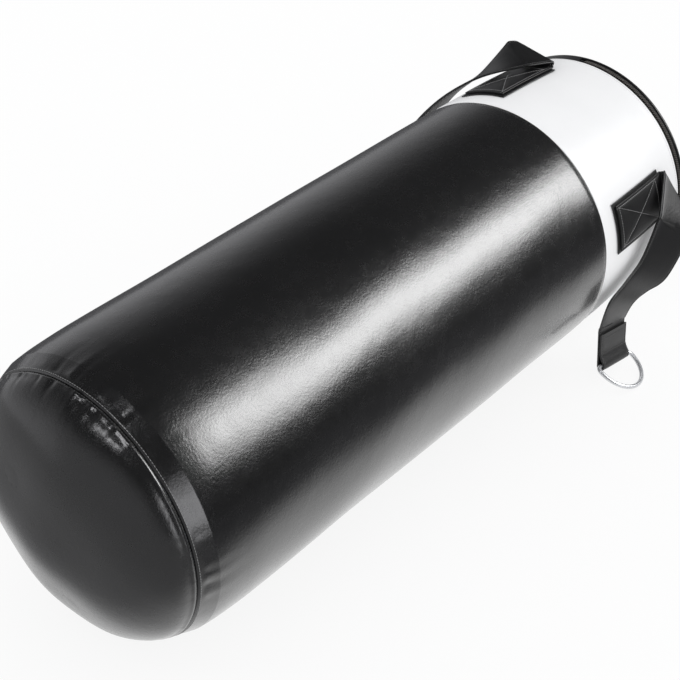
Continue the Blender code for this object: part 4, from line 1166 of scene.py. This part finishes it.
def lid(name):
    past_hinge = np.linspace(HINGE_HALF_ANGLE, 360 - HINGE_HALF_ANGLE, 300)[1:-1]
    apart = np.concatenate([np.linspace(-HINGE_HALF_ANGLE, HINGE_HALF_ANGLE, 41), past_hinge])
    columns = []
    for turned, fold in zip(apart, gathers(apart, 71)):
        slope = math.cos(math.radians(turned)), math.sin(math.radians(turned))
        reach, skirt = TOP_RADIUS, TOP_STATION - LID_SKIRT
        if abs(turned) < HINGE_HALF_ANGLE - 0.01:
            reach, skirt = (HINGE_LINE - CLEARANCE / 2) / slope[0], TOP_STATION - 0.0004

        def wave(radius, slope=slope, fold=fold, reach=reach):
            near = np.exp(-np.clip(reach - radius - 0.004, 0, 1) / 0.010) * ease(reach - radius, 0.002, 0.006)
            y, z = radius * slope[0], radius * slope[1]
            soft = np.sin(70 * y + 40 * z) + np.sin(55 * z - 25 * y + 1)
            return fold * near * 0.0007 + 0.0005 * soft * ease(reach - radius, 0.0, 0.03)

        station, radius = rim_section(reach, 0.0, skirt, wave)
        columns.append(rim_points(station, HINGE_ANGLE + turned, radius))
    grid = np.stack(columns, axis=1)
    made = grid_object(name, grid, lid_vinyl, loop_rows=True, loop_columns=True)
    row = grid[int(np.argmin(np.abs(TOP_STEPS * (TOP_RADIUS - LID_ROLL) - TOP_RADIUS + LID_STITCH)))]
    sew("lid", black_thread, [row + [THREAD_LIFT, 0.0, 0.0]], closed=True)
    return dress(made, "lid", "lid_panel")


def hinge_strip(name):
    columns = []
    for turned in np.linspace(-HINGE_HALF_ANGLE, HINGE_HALF_ANGLE, 45):
        start = min((HINGE_LINE + CLEARANCE / 2) / math.cos(math.radians(turned)), TOP_RADIUS - 0.0024)
        station, radius = rim_section(TOP_RADIUS, start, BAND_END + CLEARANCE, lambda r: 0 * r)
        columns.append(rim_points(station, HINGE_ANGLE + turned, radius))
    made = grid_object(name, np.stack(columns, axis=1), lid_vinyl, loop_rows=True, caps=True)
    return dress(made, "bag", "lid_hinge_strip")


lid("lid_cover")
hinge_strip("lid_hinge_cover")

# %% [markdown]
# ## The filling
# The bag is packed with textile cuttings. Only their uneven top shows, when the lid is open.


# %% Packed textile
def filling(name):
    angle = full_turn(180)[None, :]
    depth = SKIN + 0.0012
    bend = (np.pi / 2 * np.linspace(1.0, 0.0, 12))[:, None]
    low = rim_points(-(DOME_DEPTH - depth) * np.sin(bend), angle, (BOTTOM_SEAM_RADIUS - depth) * np.cos(bend))
    side = on_bag(np.linspace(0.004, BAND_END - 0.010, 60)[:, None], angle, -depth)
    neck = TAPE_TOP - TAPE - CLEARANCE
    top = TOP_STATION - SKIN - 0.009
    reach = np.array([1.0, 1.0, 0.985, 0.96, 0.92, 0.86, 0.78, 0.7, 0.6, 0.5, 0.4, 0.3, 0.2, 0.1, 0.0]) * neck
    station = np.array([BAND_END - 0.0085, top - 0.004, top - 0.0015] + [top] * 12)
    end = rim_points(station[:, None], angle, reach[:, None])
    y, z = end[3:, :, 1], end[3:, :, 2]
    heap = np.sin(95 * y + 60 * z) + np.sin(140 * z - 50 * y + 2) + np.sin(60 * y - 120 * z + 4) - 3.0
    end[3:, :, 0] += 0.0011 * heap * ease(neck - np.hypot(y, z), 0.0, 0.01)
    made = grid_object(name, np.concatenate([low, side, end]), textile, loop_columns=True)
    return dress(made, "bag", "textile_filling")


filling("packed_filling")

# %% [markdown]
# ## The metal parts and the sewing
# The slider, its puller and the two stops keep their measured shape and get enamel. One more row
# of white stitches runs along the band's upper edge, and then every kept line is sewn.


# %% Slider, puller and stops
for name in ("zip_stop_start", "zip_stop_end", "zip_slider", "zip_puller"):
    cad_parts[name].data.materials.clear()
    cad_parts[name].data.materials.append(zip_metal)
print("enamelled the slider, the puller and both stops")

# %% All the sewing
STITCH_PITCH, STITCH_LENGTH, STITCH_THICKNESS = 0.0031, 0.0027, 0.0006
sew("bag", white_thread, [on_bag(BAND_END - 0.0045, full_turn(360), 0.00045)], closed=True)
for (body, thread_name), rows in STITCHES.items():
    look = bpy.data.materials[thread_name]
    made = sewn_mesh(f"{body}_{thread_name}", look, rows, STITCH_PITCH, STITCH_LENGTH, STITCH_THICKNESS)
    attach(made, body)
    print(made.name, len(made.data.polygons), "faces")

# %% [markdown]
# ## Floor and lights
# The bag lies on a plain white floor. Two long soft boxes, one inside the other, shine from the
# right and make the broad streak on the vinyl with its softer border. They add gloss only. The
# world gives an even fill. Camera rays see white, and reflections see a studio with a panel in
# front, a pale wall behind, one on the left, and a small box overhead.
# The floor glows a little for diffuse rays, which is painted light from below, and reflections see a painted pool of
# light on it near the bag.


# %% Floor
FLOOR_DROP = -0.0004
floor_mesh = bpy.data.meshes.new("floor")
corners = [(x, y, FLOOR_DROP) for x, y in ((-1.6, -1.5), (1.7, -1.5), (1.7, 1.6), (-1.6, 1.6))]
floor_mesh.from_pydata(corners, [], [(0, 1, 2, 3)])
floor_object = put("floor", floor_mesh)
paper = Recipe("white_paper").empty()
rays = paper.node("ShaderNodeLightPath")
spot = paper.parts(paper.place())
# Painted reflection: for glossy rays the floor glows with a pool of light near the bag, dim further off and grey past
# the bottom end.
past_end = (abs(spot["X"] - 0.14) - 0.30).at_least(0.0)
away = (past_end * past_end + spot["Y"] * spot["Y"]) ** 0.5
painted_floor_pool = paper.mix(away.below(0.37, 0.13), (0.085, 0.085, 0.09), (0.86, 0.86, 0.86))
painted_floor_pool = paper.mix(spot["X"].below(-0.40, 0.08), painted_floor_pool, (0.26, 0.26, 0.265))
matt = paper.node("ShaderNodeBsdfDiffuse", None, {"Color": (0.90, 0.90, 0.90)})["BSDF"]
glow = paper.shine("Emission", (1.0, 1.0, 1.0))
# Camera rays see the floor white. Diffuse rays see it partly glowing, which is painted light on the bag from below.
seen = paper.blend(rays["Is Camera Ray"] * 0.88 + rays["Is Diffuse Ray"] * 0.6, matt, glow)
seen = paper.blend(rays["Is Glossy Ray"], seen, paper.shine("Emission", painted_floor_pool))
paper.node("ShaderNodeOutputMaterial", None, {"Surface": seen})
floor_mesh.materials.append(paper.material)
floor_object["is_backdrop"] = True
print("floor", floor_object.name)

# %% World
world = bpy.data.worlds.new("studio")
world.use_nodes = True
bpy.context.scene.world = world
sky = Recipe("studio", world.node_tree).empty()
rays = sky.node("ShaderNodeLightPath")
direction = sky.node("ShaderNodeTexCoord")["Generated"]
sides = sky.parts(direction)
front_panel = (sides["X"].above(-0.30, 0.06) * sides["X"].below(-0.03, 0.06) * (-sides["Y"]).above(0.5, 0.1)
               * sides["Z"].above(-0.20, 0.12) * sides["Z"].below(0.42, 0.12) * 2.1)
rear_wall = sides["Y"].above(0.62, 0.25) * sides["Z"].below(0.32, 0.55) * 0.46
left_wall = (-sides["X"]).above(0.70, 0.26) * sides["Z"].below(0.35, 0.25) * 0.24
overhead = sky.along(direction, tuple(unit(-0.46, -0.07, 0.885)))
small_top_box = overhead.above(math.cos(math.radians(7.0)), 0.004) * 5.5
level = 0.028 + front_panel + small_top_box + rear_wall + left_wall
gloss_colour = sky.node("ShaderNodeCombineXYZ", None, {0: level, 1: level, 2: level * 1.03})["Vector"]
fill_level = 1.02 + sky.along(direction, (0.30, -0.65, 0.25)) * 0.30
fill_light = sky.shine("Background", (0.985, 0.99, 1.0), fill_level)
mirrored = rays["Is Glossy Ray"] + rays["Is Transmission Ray"]
seen = sky.blend(mirrored, fill_light, sky.shine("Background", gloss_colour))
seen = sky.blend(rays["Is Camera Ray"], seen, sky.shine("Background", (1.0, 1.0, 1.0)))
sky.node("ShaderNodeOutputWorld", None, {"Surface": seen})
print("world", len(sky.tree.nodes), "nodes")

# %% Soft boxes
for name, x, size, power in (("key_box", 1.15, (1.68, 0.40), 14.5), ("key_edge", 1.12, (1.78, 0.84), 15.9)):
    lamp = bpy.data.lights.new(name, "AREA")
    lamp.shape = "RECTANGLE"
    lamp.size, lamp.size_y = size
    lamp.energy = power
    box = put(name, lamp)
    box.visible_diffuse = False
    at = Vector((x, -1.016, 1.035))
    across, back = Vector((1.0, 0.0, 0.0)), (at - Vector((x, -0.106, 0.253))).normalized()
    box.matrix_world = Matrix.Translation(at) @ Matrix((across, back.cross(across), back)).transposed().to_4x4()
    print(name, size, "m")

# %% [markdown]
# ## The end
# The size of the dressed bag is kept beside the size of the measured one.

# %% Sizes
bpy.context.view_layer.update()
size = {"cad": [list(corner) for corner in cad_box], "visual": [list(corner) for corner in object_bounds()]}
print(size)
